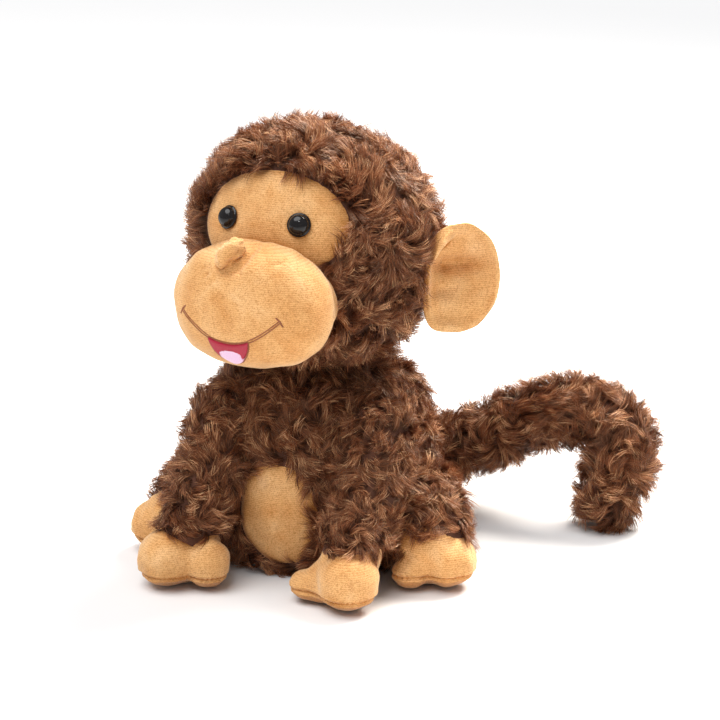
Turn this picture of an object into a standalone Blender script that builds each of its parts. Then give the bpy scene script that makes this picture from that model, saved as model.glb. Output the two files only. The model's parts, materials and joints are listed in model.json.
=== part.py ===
"""A seated plush monkey: fur covers, short-pile panels, stuffing, safety eyes and a jointed tail.

Metres, +Z up. The toy sits on z = 0, faces -Y, and its own left side is +X. The origin is on the
floor under the middle of the body. Each sub-part is one closed solid. A fur cover is modelled from
just inside its backing cloth to the middle of its pile.
"""

import math

import bmesh
import bpy
import numpy as np
from mathutils import Matrix, Vector

# Cloth and fit
GAP = 0.0003  # left between pieces that touch
FILL_GAP = 0.0014  # left between a cover's cloth and its stuffing, where both are faceted
HEAD_FILL_GAP = 0.0026
HEAD_ROOM = 0.0009  # left between the face and what is sewn over it
PILE = 0.003  # from the backing cloth to the outside of a fur cover's solid
BACKING = 0.0015  # thickness of a cloth panel
NAP = 0.0010  # short pile that a tan panel adds outside its cloth

# Body: a turned pear, as (height, radius of the backing cloth)
BODY_PROFILE = (
    (0.000, 0.0520),
    (0.004, 0.0605),
    (0.014, 0.0660),
    (0.032, 0.0685),
    (0.052, 0.0690),
    (0.070, 0.0680),
    (0.084, 0.0655),
    (0.096, 0.0620),
    (0.105, 0.0570),
    (0.113, 0.0480),
    (0.119, 0.0385),
    (0.1225, 0.0320),
)
BODY_SIDES = 24
BELLY_CENTRE_Z = 0.041
BELLY_HALF_WIDTH = 0.0240
BELLY_HALF_HEIGHT = 0.031
BELLY_CUT = (-0.085, -0.030)  # Y from in front of the body to inside it
PELLET_BAG_RADIUS = 0.036
PELLET_BAG_TOP = 0.0215
PELLET_BAG_CORNER = 0.006
PELLET_BAG_FLAT = 0.80  # its flat ends, as a share of its radius
SEAT_THICKNESS = 0.0022

# Neck ball, the centre of both head joints
NECK = Vector((0.0005, -0.0095, 0.128))
NECK_RADIUS = 0.0210
SOCKET_GAP = 0.0006

# Head: an ellipsoid with its own frame, turned to the toy's right and looking slightly up
HEAD_CENTRE = Vector((0.0015, -0.009, 0.1960))
HEAD_TURN = math.radians(-8.5)
HEAD_LOOK_UP = math.radians(4.7)
HEAD_HALF = (0.072, 0.064, 0.066)
HEAD_POWERS = (2.15, 2.7)  # roundness above and below the middle: the cheeks and nape are fuller
HEAD_SIDES = 26
NECK_OPENING = math.radians(16)  # polar angle of the neck rim, from straight down
FACE_CUT = (-0.090, -0.012)  # Y from in front of the head to inside it

# Face, in the head's frame
FACE_HALF_WIDTH = 0.050
FACE_CENTRE_Z = 0.015
FACE_HALF_HEIGHT = 0.032
MUZZLE_CENTRE = (0.0, -0.0675, -0.0270)
MUZZLE_HALF = (0.0490, 0.0360, 0.0405)
MUZZLE_POWER = 2.5  # roundness from front to back
MUZZLE_ROUNDNESS = 2.15  # roundness seen from the front
MUZZLE_SEAM = (0.042, 0.035)
FACE_MIDDLE_Z = -0.006
EYE_X = 0.0232
EYE_Z = 0.0165
EYE_RADIUS = 0.0070
EYE_HEIGHT = 0.0046
EYE_RIM = 0.0008
EYE_LIFT = 0.0010  # from the face's pile to the back of the eye
SHANK_RADIUS = 0.0020
CUT_REACH = 0.006  # how far a cutter runs past the face's cloth
SHANK_LENGTH = 0.0140
WASHER_RADIUS = 0.0080
WASHER_THICKNESS = 0.0015
WASHER_LIFT = 0.0016  # from the face's cloth to the washer
NOSE_CENTRE_Z = 0.0008
NOSE_HALF = (0.0110, 0.0085, 0.0080)
NOSE_FORWARD = 0.0040
SMILE_HALF_WIDTH = 0.0312
SMILE_LOW_Z = -0.0475
SMILE_RISE = 0.0150
MOUTH_HALF_WIDTH = 0.0115
MOUTH_DROP = 0.0125
MOUTH_ARCH = 0.0015
MOUTH_THICKNESS = 0.0008
TONGUE_HALF_WIDTH = 0.0070
TONGUE_TOP = 0.0070  # below the mouth's top
TONGUE_DROP = 0.0048
TONGUE_THICKNESS = 0.0009
THREAD_RADIUS = 0.0006

# Ears, in the head's frame
EAR_ROOT = (0.0765, 0.002, -0.016)
EAR_SWEEP = math.radians(45)  # swept back from straight out
EAR_HALF_HEIGHT = 0.0325
EAR_WIDTH = 0.0440
EAR_ROOT_HALF_HEIGHT = 0.0220
EAR_ROOT_X = 0.0020
EAR_PANEL = 0.0026
EAR_DISH = 0.0070
EAR_SIDES = 20

# Arms, each from its shoulder's ball to inside its hand. They aren't posed alike
ARM_ROUTES = {
    "left": (
        (0.0560, -0.0450, 0.092),
        (0.0560, -0.0580, 0.074),
        (0.0550, -0.0680, 0.056),
        (0.0540, -0.0800, 0.039),
        (0.0530, -0.0920, 0.025),
    ),
    "right": (
        (-0.0400, -0.0470, 0.092),
        (-0.0410, -0.0640, 0.074),
        (-0.0430, -0.0770, 0.055),
        (-0.0460, -0.0850, 0.038),
        (-0.0500, -0.0930, 0.025),
    ),
}
ARM_RADII = (0.0180, 0.0180, 0.0176, 0.0168, 0.0150)
ARM_GROOVE = 0.0032  # the hollow along an arm, where it lies in the body's side
SHOULDER_ROOM = 0.0060  # the hollow round a shoulder's ball, so that the arm can swing up

# Left leg, from its hip's ball to inside its foot. The right one is thinner, mirrored and drawn in
LEG_ROUTE = (
    (0.0700, -0.0200, 0.0360),
    (0.0800, -0.0310, 0.0310),
    (0.0890, -0.0405, 0.0245),
    (0.0960, -0.0465, 0.0190),
)
LEG_RADII = {"left": (0.0260, 0.0245, 0.0195, 0.0150), "right": (0.0235, 0.0215, 0.0180, 0.0145)}
RIGHT_LEG_SHIFT = 0.0105
HIP_ROOM = 0.0060
LIMB_SIDES = 12

# Hands and feet: stuffed mittens of overlapping round lobes (x, y, radius), given for the left side
HAND = {
    "lobes": (
        (0.0570, -0.1010, 0.0200),
        (0.0480, -0.0930, 0.0170),
        (0.0380, -0.0945, 0.0120),
        (0.0270, -0.0955, 0.0095),
    ),
    "centre": (0.0490, -0.0970),
    "seam_z": 0.0095,
    "top": 0.0380,
    "thin_from": (0.0520, -0.0980),
    "thin_to": (0.0240, -0.0950),
    "under": "palm",
}
FOOT = {
    "lobes": ((0.0980, -0.0450, 0.0190), (0.0850, -0.0450, 0.0175), (0.0790, -0.0590, 0.0110)),
    "centre": (0.0890, -0.0470),
    "seam_z": 0.0110,
    "top": 0.0350,
    "thin_from": (0.0850, -0.0500),
    "thin_to": (0.0790, -0.0690),
    "under": "sole",
}

# Tail: its middle line from the body's back to the floor
TAIL_ROUTE = (
    (0.0040, 0.0745, 0.0340),
    (0.0140, 0.0910, 0.0350),
    (0.0360, 0.0980, 0.0370),
    (0.0620, 0.0990, 0.0420),
    (0.0820, 0.0990, 0.0505),
    (0.1000, 0.0990, 0.0600),
    (0.1180, 0.0990, 0.0675),
    (0.1410, 0.0980, 0.0720),
    (0.1590, 0.0960, 0.0680),
    (0.1695, 0.0940, 0.0570),
    (0.1705, 0.0920, 0.0440),
    (0.1660, 0.0900, 0.0290),
    (0.1635, 0.0888, 0.0200),
)
TAIL_RADIUS = 0.0160
TAIL_CUTS = (0.0, 0.38, 0.68, 1.0)  # where the tail bends, as shares of its length
TAIL_SIDES = 10
TAIL_JOINT_GAP = 0.0012
TAIL_ROOM = 0.0030  # the hollow round the tail's root

# name: (colour, roughness, metallic)
FINISHES = {
    "fur": ((0.070, 0.024, 0.012), 0.85, 0.0),
    "tan_plush": ((0.68, 0.36, 0.15), 0.80, 0.0),
    "stuffing": ((0.86, 0.85, 0.82), 0.90, 0.0),
    "bag_cloth": ((0.70, 0.68, 0.62), 0.80, 0.0),
    "eye_plastic": ((0.012, 0.008, 0.007), 0.12, 0.0),
    "washer_plastic": ((0.75, 0.75, 0.73), 0.45, 0.0),
    "thread": ((0.40, 0.13, 0.05), 0.60, 0.0),
    "mouth_felt": ((0.62, 0.03, 0.10), 0.75, 0.0),
    "tongue_felt": ((0.85, 0.55, 0.72), 0.75, 0.0),
}


def clear_scene():
    for obj in list(bpy.data.objects):
        bpy.data.objects.remove(obj, do_unlink=True)


def finish_material(finish):
    """The shared Principled material of a finish."""
    found = bpy.data.materials.get(finish)
    if found:
        return found
    colour, roughness, metallic = FINISHES[finish]
    material = bpy.data.materials.new(finish)
    material.use_nodes = True
    shader = material.node_tree.nodes["Principled BSDF"]
    shader.inputs["Base Color"].default_value = (*colour, 1.0)
    shader.inputs["Roughness"].default_value = roughness
    shader.inputs["Metallic"].default_value = metallic
    return material


def axis_empty(name, matrix, parent=None):
    """An empty on a joint's axis. Its world matrix is kept on it, for placing its children."""
    empty = bpy.data.objects.new(name, None)
    bpy.context.collection.objects.link(empty)
    empty.parent = parent
    empty.matrix_basis = world_of(parent).inverted() @ matrix
    return empty


def world_of(empty):
    """An empty's world matrix, from its own and its parents' placements."""
    if empty is None:
        return Matrix.Identity(4)
    return world_of(empty.parent) @ empty.matrix_basis


def solid(name, shape, finish, parent=None, frame=None):
    """One closed solid, from (points, faces) in the given frame, with its origin on its parent's axis."""
    points, faces = shape
    to_local = world_of(parent).inverted() @ (frame or Matrix.Identity(4))
    shell = bmesh.new()
    verts = [shell.verts.new(to_local @ Vector(p)) for p in points]
    for face in faces:
        shell.faces.new([verts[i] for i in face])
    bmesh.ops.recalc_face_normals(shell, faces=shell.faces)
    mesh = bpy.data.meshes.new(name)
    shell.to_mesh(mesh)
    shell.free()
    mesh.shade_smooth()
    obj = bpy.data.objects.new(name, mesh)
    obj.data.materials.append(finish_material(finish))
    bpy.context.collection.objects.link(obj)
    obj.parent = parent
    return obj


def cutter(name, shape, parent=None, frame=None):
    """A solid that only cuts others."""
    obj = solid(name, shape, "bag_cloth", parent, frame)
    obj.hide_render = True
    obj.display_type = "WIRE"
    return obj


def boolean(obj, other, operation="DIFFERENCE"):
    modifier = obj.modifiers.new(operation.lower() + "_" + other.name, "BOOLEAN")
    modifier.object = other
    modifier.operation = operation
    modifier.solver = "EXACT"
    modifier.use_hole_tolerant = False


def skin(rings, start=None, end=None):
    """Quads between rings of equal length. A pole closes each end, or the last ring joins the first."""
    count = len(rings[0])
    points = [tuple(p) for ring in rings for p in ring]
    faces = []
    pairs = list(zip(range(len(rings)), range(1, len(rings))))
    if start is None and end is None:
        pairs.append((len(rings) - 1, 0))
    for low, high in pairs:
        for i in range(count):
            j = (i + 1) % count
            faces.append((low * count + i, low * count + j, high * count + j, high * count + i))
    for pole, ring, turn in ((start, 0, -1), (end, len(rings) - 1, 1)):
        if pole is None:
            continue
        points.append(tuple(pole))
        tip = len(points) - 1
        for i in range(count):
            j = (i + 1) % count
            faces.append((ring * count + i, ring * count + j, tip)[::turn])
    return points, faces


def smooth_through(points, steps):
    """Points on a smooth curve through the given ones, with `steps` between each pair."""
    p = np.array(points, float)
    p = np.vstack([2 * p[0] - p[1], p, 2 * p[-1] - p[-2]])
    out = []
    for a, b, c, d in zip(p, p[1:], p[2:], p[3:]):
        for t in np.arange(steps) / steps:
            square = (2 * a - 5 * b + 4 * c - d) * t**2
            cube = (3 * b - a - 3 * c + d) * t**3
            out.append(0.5 * (2 * b + (c - a) * t + square + cube))
    out.append(p[-2])
    return np.array(out)


def circle_angles(sides):
    return np.arange(sides) * 2 * math.pi / sides


def superellipse(angles, half_width, half_height, power):
    c, s = np.cos(angles), np.sin(angles)
    x = half_width * np.sign(c) * np.abs(c) ** (2 / power)
    y = half_height * np.sign(s) * np.abs(s) ** (2 / power)
    return np.stack([x, y], 1)


# ---------------------------------------------------------------- body


def body_radius(z, offset=0.0):
    heights, radii = zip(*BODY_PROFILE)
    return float(np.interp(z, heights, radii)) + offset


def body_ring(z, offset):
    angles = circle_angles(BODY_SIDES)
    r = body_radius(z, offset)
    return np.stack([r * np.cos(angles), r * np.sin(angles), np.full(BODY_SIDES, z)], 1)


def body_front(x, z, offset):
    """The y of the body's front surface."""
    r = body_radius(z, offset)
    return -math.sqrt(max(r * r - x * x, 1e-8))


def belly_outline(grow=0.0):
    outline = superellipse(circle_angles(24), BELLY_HALF_WIDTH + grow, BELLY_HALF_HEIGHT + grow, 2.4)
    return outline + [0.0, BELLY_CENTRE_Z]


def front_panel(outline, surface, outside, inside, steps=3):
    """A thin panel that follows surface(x, z, offset), inside an outline of (x, z) points."""
    middle = outline.mean(0)
    shares = [(k + 1) / steps for k in range(steps)]

    def ring(share, offset):
        return [(x, surface(x, z, offset), z) for x, z in middle + (outline - middle) * share]

    def pole(offset):
        return (middle[0], surface(*middle, offset), middle[1])

    rings = [ring(s, outside) for s in shares] + [ring(s, inside) for s in reversed(shares)]
    return skin(rings, pole(outside), pole(inside))


def front_prism(outline, near, far):
    """A prism along Y over an outline of (x, z) points."""
    rings = [[(x, y, z) for x, z in outline] for y in (near, far)]
    middle = outline.mean(0)
    return skin(rings, (middle[0], near, middle[1]), (middle[0], far, middle[1]))


def pellet_bag(low, radius, top):
    """A flat round cushion that stands on z = low."""
    profile = (
        (low, PELLET_BAG_FLAT),
        (low + PELLET_BAG_CORNER, 1.0),
        (top - PELLET_BAG_CORNER, 1.0),
        (top, PELLET_BAG_FLAT),
    )
    angles = circle_angles(20)
    rings = [[(r * radius * math.cos(a), r * radius * math.sin(a), z) for a in angles] for z, r in profile]
    return skin(rings, (0, 0, low), (0, 0, top))


def make_body(sockets):
    heights = [z for z, _ in BODY_PROFILE]
    outer = [body_ring(z, PILE) for z in heights]
    inner = [body_ring(z, -BACKING) for z in heights]
    cover = solid("torso_cover", skin(outer + inner[::-1]), "fur")
    opening = front_prism(belly_outline(GAP), *BELLY_CUT)
    boolean(cover, cutter("cut_belly", opening))
    panel = front_panel(belly_outline(), body_front, NAP, -BACKING)
    solid("belly_patch", panel, "tan_plush")

    angles = circle_angles(BODY_SIDES)
    seat_radius = BODY_PROFILE[0][1] - BACKING - GAP
    rim = [(seat_radius * math.cos(a), seat_radius * math.sin(a)) for a in angles]
    seat = [[(x, y, z) for x, y in rim] for z in (0.0, SEAT_THICKNESS)]
    solid("seat_panel", skin(seat, (0, 0, 0.0), (0, 0, SEAT_THICKNESS)), "fur")

    fill_low = SEAT_THICKNESS + GAP
    solid("pellet_bag", pellet_bag(fill_low + GAP, PELLET_BAG_RADIUS, PELLET_BAG_TOP), "bag_cloth")
    fill = -BACKING - FILL_GAP
    fill_heights = [fill_low] + [z for z in heights if z > fill_low]
    rings = [body_ring(z, fill) for z in fill_heights]
    stuffing = solid("torso_stuffing", skin(rings, (0, 0, fill_low), (0, 0, fill_heights[-1])), "stuffing")
    bag_room = pellet_bag(-PELLET_BAG_CORNER, PELLET_BAG_RADIUS + 2 * GAP, PELLET_BAG_TOP + 2 * GAP)
    boolean(stuffing, cutter("cut_pellet_bag", bag_room))
    for socket in sockets:
        boolean(stuffing, socket)
        if socket.name != "cut_neck":
            boolean(cover, socket)


# ---------------------------------------------------------------- balls and tubes


def ball(centre, radius, sides=16, bands=8):
    rings = []
    for k in range(1, bands):
        polar = math.pi * k / bands
        r, z = radius * math.sin(polar), radius * math.cos(polar)
        rings.append([(r * math.cos(a), r * math.sin(a), z) for a in circle_angles(sides)])
    points, faces = skin(rings, (0, 0, radius), (0, 0, -radius))
    return [tuple(Vector(p) + Vector(centre)) for p in points], faces


def frames_along(route):
    """(point, side, up) at each point of a route, without twist."""
    route = np.array(route, float)
    ahead = np.gradient(route, axis=0)
    ahead /= np.linalg.norm(ahead, axis=1)[:, None]
    up = np.array([0.0, 0.0, 1.0])
    if abs(ahead[0] @ up) > 0.9:
        up = np.array([0.0, 1.0, 0.0])
    out = []
    for point, t in zip(route, ahead):
        up = up - t * (up @ t)
        up /= np.linalg.norm(up)
        out.append((point, np.cross(t, up), up))
    return out


def tube_rings(route, radii, sides):
    angles = circle_angles(sides)
    rings = []
    for (point, side, up), r in zip(frames_along(route), radii):
        rings.append([point + r * (side * math.cos(a) + up * math.sin(a)) for a in angles])
    return rings


def round_ended(route, radii, sides, start_round, end_round):
    """Tube rings with domed ends. Returns the rings and the two poles."""
    route = np.array(route, float)
    radii = np.array(radii, float)
    first = (route[1] - route[0]) / np.linalg.norm(route[1] - route[0])
    last = (route[-1] - route[-2]) / np.linalg.norm(route[-1] - route[-2])
    start_turns = [math.radians(a) for a in start_round]
    end_turns = [math.radians(a) for a in end_round]
    before = [(route[0] - first * radii[0] * math.sin(a), radii[0] * math.cos(a)) for a in start_turns]
    after = [(route[-1] + last * radii[-1] * math.sin(a), radii[-1] * math.cos(a)) for a in end_turns]
    points = [p for p, _ in before] + list(route) + [p for p, _ in after]
    sizes = [r for _, r in before] + list(radii) + [r for _, r in after]
    start = route[0] - first * (radii[0] if start_round else 0.0)
    end = route[-1] + last * (radii[-1] if end_round else 0.0)
    return tube_rings(points, sizes, sides), start, end


# ---------------------------------------------------------------- head


def head_frame():
    turn = Matrix.Rotation(HEAD_TURN, 4, "Z") @ Matrix.Rotation(-HEAD_LOOK_UP, 4, "X")
    return Matrix.Translation(HEAD_CENTRE) @ turn


def head_width(z, offset=0.0):
    """How wide the head is at a height in its own frame, as a share of its full width."""
    share = abs(z) / (HEAD_HALF[2] + offset)
    power = HEAD_POWERS[0] if z > 0 else HEAD_POWERS[1]
    return max(1 - share**power, 0.0) ** (1 / power)


def head_rings(offset, polars, sides=HEAD_SIDES):
    a, b, c = (h + offset for h in HEAD_HALF)
    rings = []
    for polar in polars:
        z = c * math.cos(polar)
        width = head_width(z, offset)
        rings.append([(a * width * math.cos(t), b * width * math.sin(t), z) for t in circle_angles(sides)])
    return rings


def head_front(x, z, offset):
    """The y of the head's front surface, in the head's frame."""
    a, b, _ = (h + offset for h in HEAD_HALF)
    return -b * math.sqrt(max(head_width(z, offset) ** 2 - (x / a) ** 2, 1e-6))


def face_outline(grow=0.0):
    """The face opening: the eye area and the muzzle's seam, as one outline round their shared middle."""
    middle = FACE_MIDDLE_Z
    outline = []
    for t in circle_angles(28):
        dx, dz = math.cos(t), math.sin(t)
        reach = 0.0
        for centre_z, half_w, half_h in (
            (FACE_CENTRE_Z, FACE_HALF_WIDTH, FACE_HALF_HEIGHT),
            (MUZZLE_CENTRE[2], MUZZLE_SEAM[0], MUZZLE_SEAM[1]),
        ):
            # where the ray from (0, middle) leaves this ellipse
            a = (dx / half_w) ** 2 + (dz / half_h) ** 2
            b = 2 * dz * (middle - centre_z) / half_h**2
            c = ((middle - centre_z) / half_h) ** 2 - 1
            reach = max(reach, (-b + math.sqrt(b * b - 4 * a * c)) / (2 * a))
        outline.append(((reach + grow) * dx, middle + (reach + grow) * dz))
    return np.array(outline)


def muzzle_shape(offset):
    """The muzzle's closed form, grown by an offset, with rings about its forward axis."""
    half = [h + offset for h in MUZZLE_HALF]
    rings = []
    for k in range(1, 10):
        t = math.pi * k / 10
        size = abs(math.sin(t)) ** (2 / MUZZLE_POWER)
        depth = math.copysign(abs(math.cos(t)) ** (2 / MUZZLE_POWER), math.cos(t))
        outline = superellipse(circle_angles(24), half[0] * size, half[2] * size, MUZZLE_ROUNDNESS)
        rings.append([(x, MUZZLE_CENTRE[1] - half[1] * depth, MUZZLE_CENTRE[2] + z) for x, z in outline])
    front = (0, MUZZLE_CENTRE[1] - half[1], MUZZLE_CENTRE[2])
    back = (0, MUZZLE_CENTRE[1] + half[1], MUZZLE_CENTRE[2])
    return skin(rings, front, back)


def muzzle_front(x, z, offset):
    """The y of the muzzle's front surface. z is measured in the head's frame."""
    half = [h + offset for h in MUZZLE_HALF]
    across, up = abs(x / half[0]), abs((z - MUZZLE_CENTRE[2]) / half[2])
    share = (across**MUZZLE_ROUNDNESS + up**MUZZLE_ROUNDNESS) ** (1 / MUZZLE_ROUNDNESS)
    return MUZZLE_CENTRE[1] - half[1] * max(1 - share**MUZZLE_POWER, 0.0) ** (1 / MUZZLE_POWER)


def smile_height(x):
    """The z of the smile's line at x: a wide curve with its ends turned up."""
    return SMILE_LOW_Z + SMILE_RISE * (abs(x) / SMILE_HALF_WIDTH) ** 1.9


def thread_tube(xs, height):
    points = [(x, muzzle_front(x, height(x), THREAD_RADIUS + 2 * GAP), height(x)) for x in xs]
    rings, _, _ = round_ended(points, [THREAD_RADIUS] * len(points), 5, (), ())
    return skin(rings, points[0], points[-1])


def mouth_outline(half_width, top, bottom):
    """A half-round patch: flat at the top and round below, as (x, z) points."""
    angles = circle_angles(14)
    x = half_width * np.cos(angles)
    drop = np.where(np.sin(angles) < 0, top - bottom, MOUTH_ARCH)
    return np.stack([x, top + drop * np.sin(angles)], 1)


def eye_frame(side):
    """Placed on the face at an eye's centre, with its Z along the shank's outward direction."""
    x, z = side * EYE_X, EYE_Z
    y = head_front(x, z, 0.0)
    out = Vector((x / HEAD_HALF[0] ** 2, y / HEAD_HALF[1] ** 2, z / HEAD_HALF[2] ** 2)).normalized()
    turn = out.to_track_quat("Z", "Y").to_matrix().to_4x4()
    return Matrix.Translation(Vector((x, y, z))) @ turn


def disc_stack(profile, sides, start, end):
    """A turned solid about Z from (height, radius) pairs, closed by poles at the two heights given."""
    rings = [[(r * math.cos(a), r * math.sin(a), z) for a in circle_angles(sides)] for z, r in profile]
    return skin(rings, (0, 0, start), (0, 0, end))


def make_eye(name, frame, parent, face, stuffing):
    seat = NAP + GAP + EYE_LIFT
    crown = EYE_HEIGHT - EYE_RIM
    dome = [(seat, EYE_RADIUS * 0.93), (seat + EYE_RIM, EYE_RADIUS)]
    for angle in (math.radians(30), math.radians(62)):
        dome.append((seat + EYE_RIM + crown * math.sin(angle), EYE_RADIUS * math.cos(angle)))
    back = seat - SHANK_LENGTH
    shank = [(back, SHANK_RADIUS), (seat, SHANK_RADIUS)]
    solid(name, disc_stack(shank + dome, 14, back, seat + EYE_HEIGHT), "eye_plastic", parent, frame)
    through = ((-CUT_REACH, SHANK_RADIUS + GAP), (CUT_REACH, SHANK_RADIUS + GAP))
    boolean(face, cutter("cut_" + name, disc_stack(through, 12, -CUT_REACH, CUT_REACH), parent, frame))
    low = -BACKING - WASHER_LIFT - WASHER_THICKNESS
    rim = [
        (low, SHANK_RADIUS + GAP),
        (low, WASHER_RADIUS),
        (low + WASHER_THICKNESS, WASHER_RADIUS),
        (low + WASHER_THICKNESS, SHANK_RADIUS + GAP),
    ]
    rings = [[(r * math.cos(a), r * math.sin(a), z) for a in circle_angles(14)] for z, r in rim]
    solid(name + "_washer", skin(rings), "washer_plastic", parent, frame)
    behind = back - 3 * GAP
    pocket = ((behind, WASHER_RADIUS + 2 * GAP), (CUT_REACH, WASHER_RADIUS + 2 * GAP))
    pocket_shape = disc_stack(pocket, 14, behind, CUT_REACH)
    boolean(stuffing, cutter("cut_" + name + "_pocket", pocket_shape, parent, frame))


def ear_frame(side):
    """Origin in the middle of the ear's root, X outward along the ear, Y to its front, Z up."""
    out = Vector((side * math.cos(EAR_SWEEP), math.sin(EAR_SWEEP), 0.0))
    front = Vector((side * math.sin(EAR_SWEEP), -math.cos(EAR_SWEEP), 0.0))
    turn = Matrix((out, front, (0, 0, 1))).transposed().to_4x4()
    return Matrix.Translation(Vector((side * EAR_ROOT[0], EAR_ROOT[1], EAR_ROOT[2]))) @ turn


def ear_outline():
    """A round ear cut off straight at its root, as (outward, up) points."""
    reach = EAR_WIDTH / 2
    x = reach + reach * np.cos(circle_angles(EAR_SIDES))
    z = EAR_HALF_HEIGHT * np.sin(circle_angles(EAR_SIDES))
    x = np.maximum(x, EAR_ROOT_X)
    z = np.where(x < 2 * EAR_ROOT_X, np.clip(z, -EAR_ROOT_HALF_HEIGHT, EAR_ROOT_HALF_HEIGHT), z)
    return np.stack([x, z], 1)


def ear_panel(front, back):
    """One dished ear panel between two offsets along the ear's own front direction."""
    outline = ear_outline()
    middle = np.array([EAR_WIDTH * 0.5, 0.0])

    def ring(share, offset):
        dish = -EAR_DISH * (1 - share**2)
        return [(x, dish + offset, z) for x, z in middle + (outline - middle) * share]

    shares = (0.6, 1.0)
    rings = [ring(s, front) for s in shares] + [ring(s, back) for s in reversed(shares)]
    return skin(rings, (middle[0], front - EAR_DISH, 0), (middle[0], back - EAR_DISH, 0))


def make_ears(nod):
    for side, name in ((1, "left_ear"), (-1, "right_ear")):
        frame = head_frame() @ ear_frame(side)
        pivot = axis_empty(name + "_axis", frame, nod)
        solid(name + "_front", ear_panel(EAR_PANEL, GAP / 2), "tan_plush", pivot, frame)
        solid(name + "_back", ear_panel(-GAP / 2, -EAR_PANEL), "tan_plush", pivot, frame)


def make_head(neck_socket):
    turn = axis_empty("head_turn_axis", Matrix.Translation(NECK))
    nod_place = Matrix.Translation(NECK) @ Matrix.Rotation(HEAD_TURN, 4, "Z")
    nod = axis_empty("head_nod_axis", nod_place, turn)
    frame = head_frame()
    solid("neck_stuffing", ball(NECK, NECK_RADIUS), "stuffing", turn)

    polars = np.linspace(0, math.pi - NECK_OPENING, 8)[1:]
    outer = head_rings(PILE, polars)
    inner = head_rings(-BACKING, polars)
    crown = [(0, 0, HEAD_HALF[2] + o) for o in (PILE, -BACKING)]
    cover = solid("head_cover", skin(outer + inner[::-1], crown[0], crown[1]), "fur", nod, frame)
    opening = front_prism(face_outline(GAP), *FACE_CUT)
    boolean(cover, cutter("cut_face", opening, nod, frame))
    muzzle_room = cutter("cut_muzzle_room", muzzle_shape(GAP), nod, frame)
    boolean(cover, muzzle_room)

    panel = front_panel(face_outline(), head_front, NAP, -BACKING, 4)
    face = solid("face_patch", panel, "tan_plush", nod, frame)
    fill_rings = head_rings(-BACKING - HEAD_FILL_GAP, np.linspace(0, math.pi, 9)[1:-1], 20)
    tops = [(0, 0, s * (HEAD_HALF[2] - BACKING - HEAD_FILL_GAP)) for s in (1, -1)]
    stuffing = solid("head_stuffing", skin(fill_rings, *tops), "stuffing", nod, frame)
    boolean(stuffing, neck_socket)

    head_room_rings = head_rings(NAP + HEAD_ROOM, np.linspace(0, math.pi, 17)[1:-1], 32)
    tops = [(0, 0, s * (HEAD_HALF[2] + NAP + HEAD_ROOM)) for s in (1, -1)]
    head_room = cutter("cut_head_room", skin(head_room_rings, *tops), nod, frame)
    muzzle = solid("muzzle_cover", muzzle_shape(0.0), "tan_plush", nod, frame)
    boolean(muzzle, cutter("cut_muzzle_hollow", muzzle_shape(-BACKING), nod, frame))
    boolean(muzzle, head_room)
    fill = solid("muzzle_stuffing", muzzle_shape(-BACKING - GAP), "stuffing", nod, frame)
    boolean(fill, head_room)

    nose_centre = np.array([0.0, muzzle_front(0.0, NOSE_CENTRE_Z, 0.0) - NOSE_FORWARD, NOSE_CENTRE_Z])
    round_points, nose_faces = ball((0, 0, 0), 1.0, 14, 8)
    nose_points = [nose_centre + np.array(p) * NOSE_HALF for p in round_points]
    nose = solid("nose", (nose_points, nose_faces), "tan_plush", nod, frame)
    boolean(nose, muzzle_room)

    left_side = np.linspace(-SMILE_HALF_WIDTH, -MOUTH_HALF_WIDTH - 0.001, 7)
    solid("smile_stitching_right", thread_tube(left_side, smile_height), "thread", nod, frame)
    solid("smile_stitching_left", thread_tube(-left_side[::-1], smile_height), "thread", nod, frame)
    top = smile_height(0.0) + THREAD_RADIUS
    mouth = mouth_outline(MOUTH_HALF_WIDTH, top, top - MOUTH_DROP)
    mouth_panel = front_panel(mouth, muzzle_front, MOUTH_THICKNESS, GAP, 2)
    solid("mouth_patch", mouth_panel, "mouth_felt", nod, frame)
    tongue_top = top - TONGUE_TOP
    tongue = mouth_outline(TONGUE_HALF_WIDTH, tongue_top, tongue_top - TONGUE_DROP)
    over_mouth = MOUTH_THICKNESS + GAP
    tongue_panel = front_panel(tongue, muzzle_front, MOUTH_THICKNESS + TONGUE_THICKNESS, over_mouth, 2)
    solid("tongue_patch", tongue_panel, "tongue_felt", nod, frame)
    for side, name in ((1, "left_eye"), (-1, "right_eye")):
        make_eye(name, frame @ eye_frame(side), nod, face, stuffing)
    make_ears(nod)


# ---------------------------------------------------------------- hands and feet


def mitten_outline(lobes, centre, sides=18):
    """The outline of overlapping round lobes, seen from above, round a shared middle."""
    outline = []
    for t in circle_angles(sides):
        ray = np.array([math.cos(t), math.sin(t)])
        reach = 0.0
        for x, y, r in lobes:
            to_lobe = np.array([x, y]) - centre
            along = to_lobe @ ray
            off = to_lobe @ to_lobe - along**2
            if off < r * r:
                reach = max(reach, along + math.sqrt(r * r - off))
        outline.append(centre + ray * reach)
    return np.array(outline)


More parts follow.
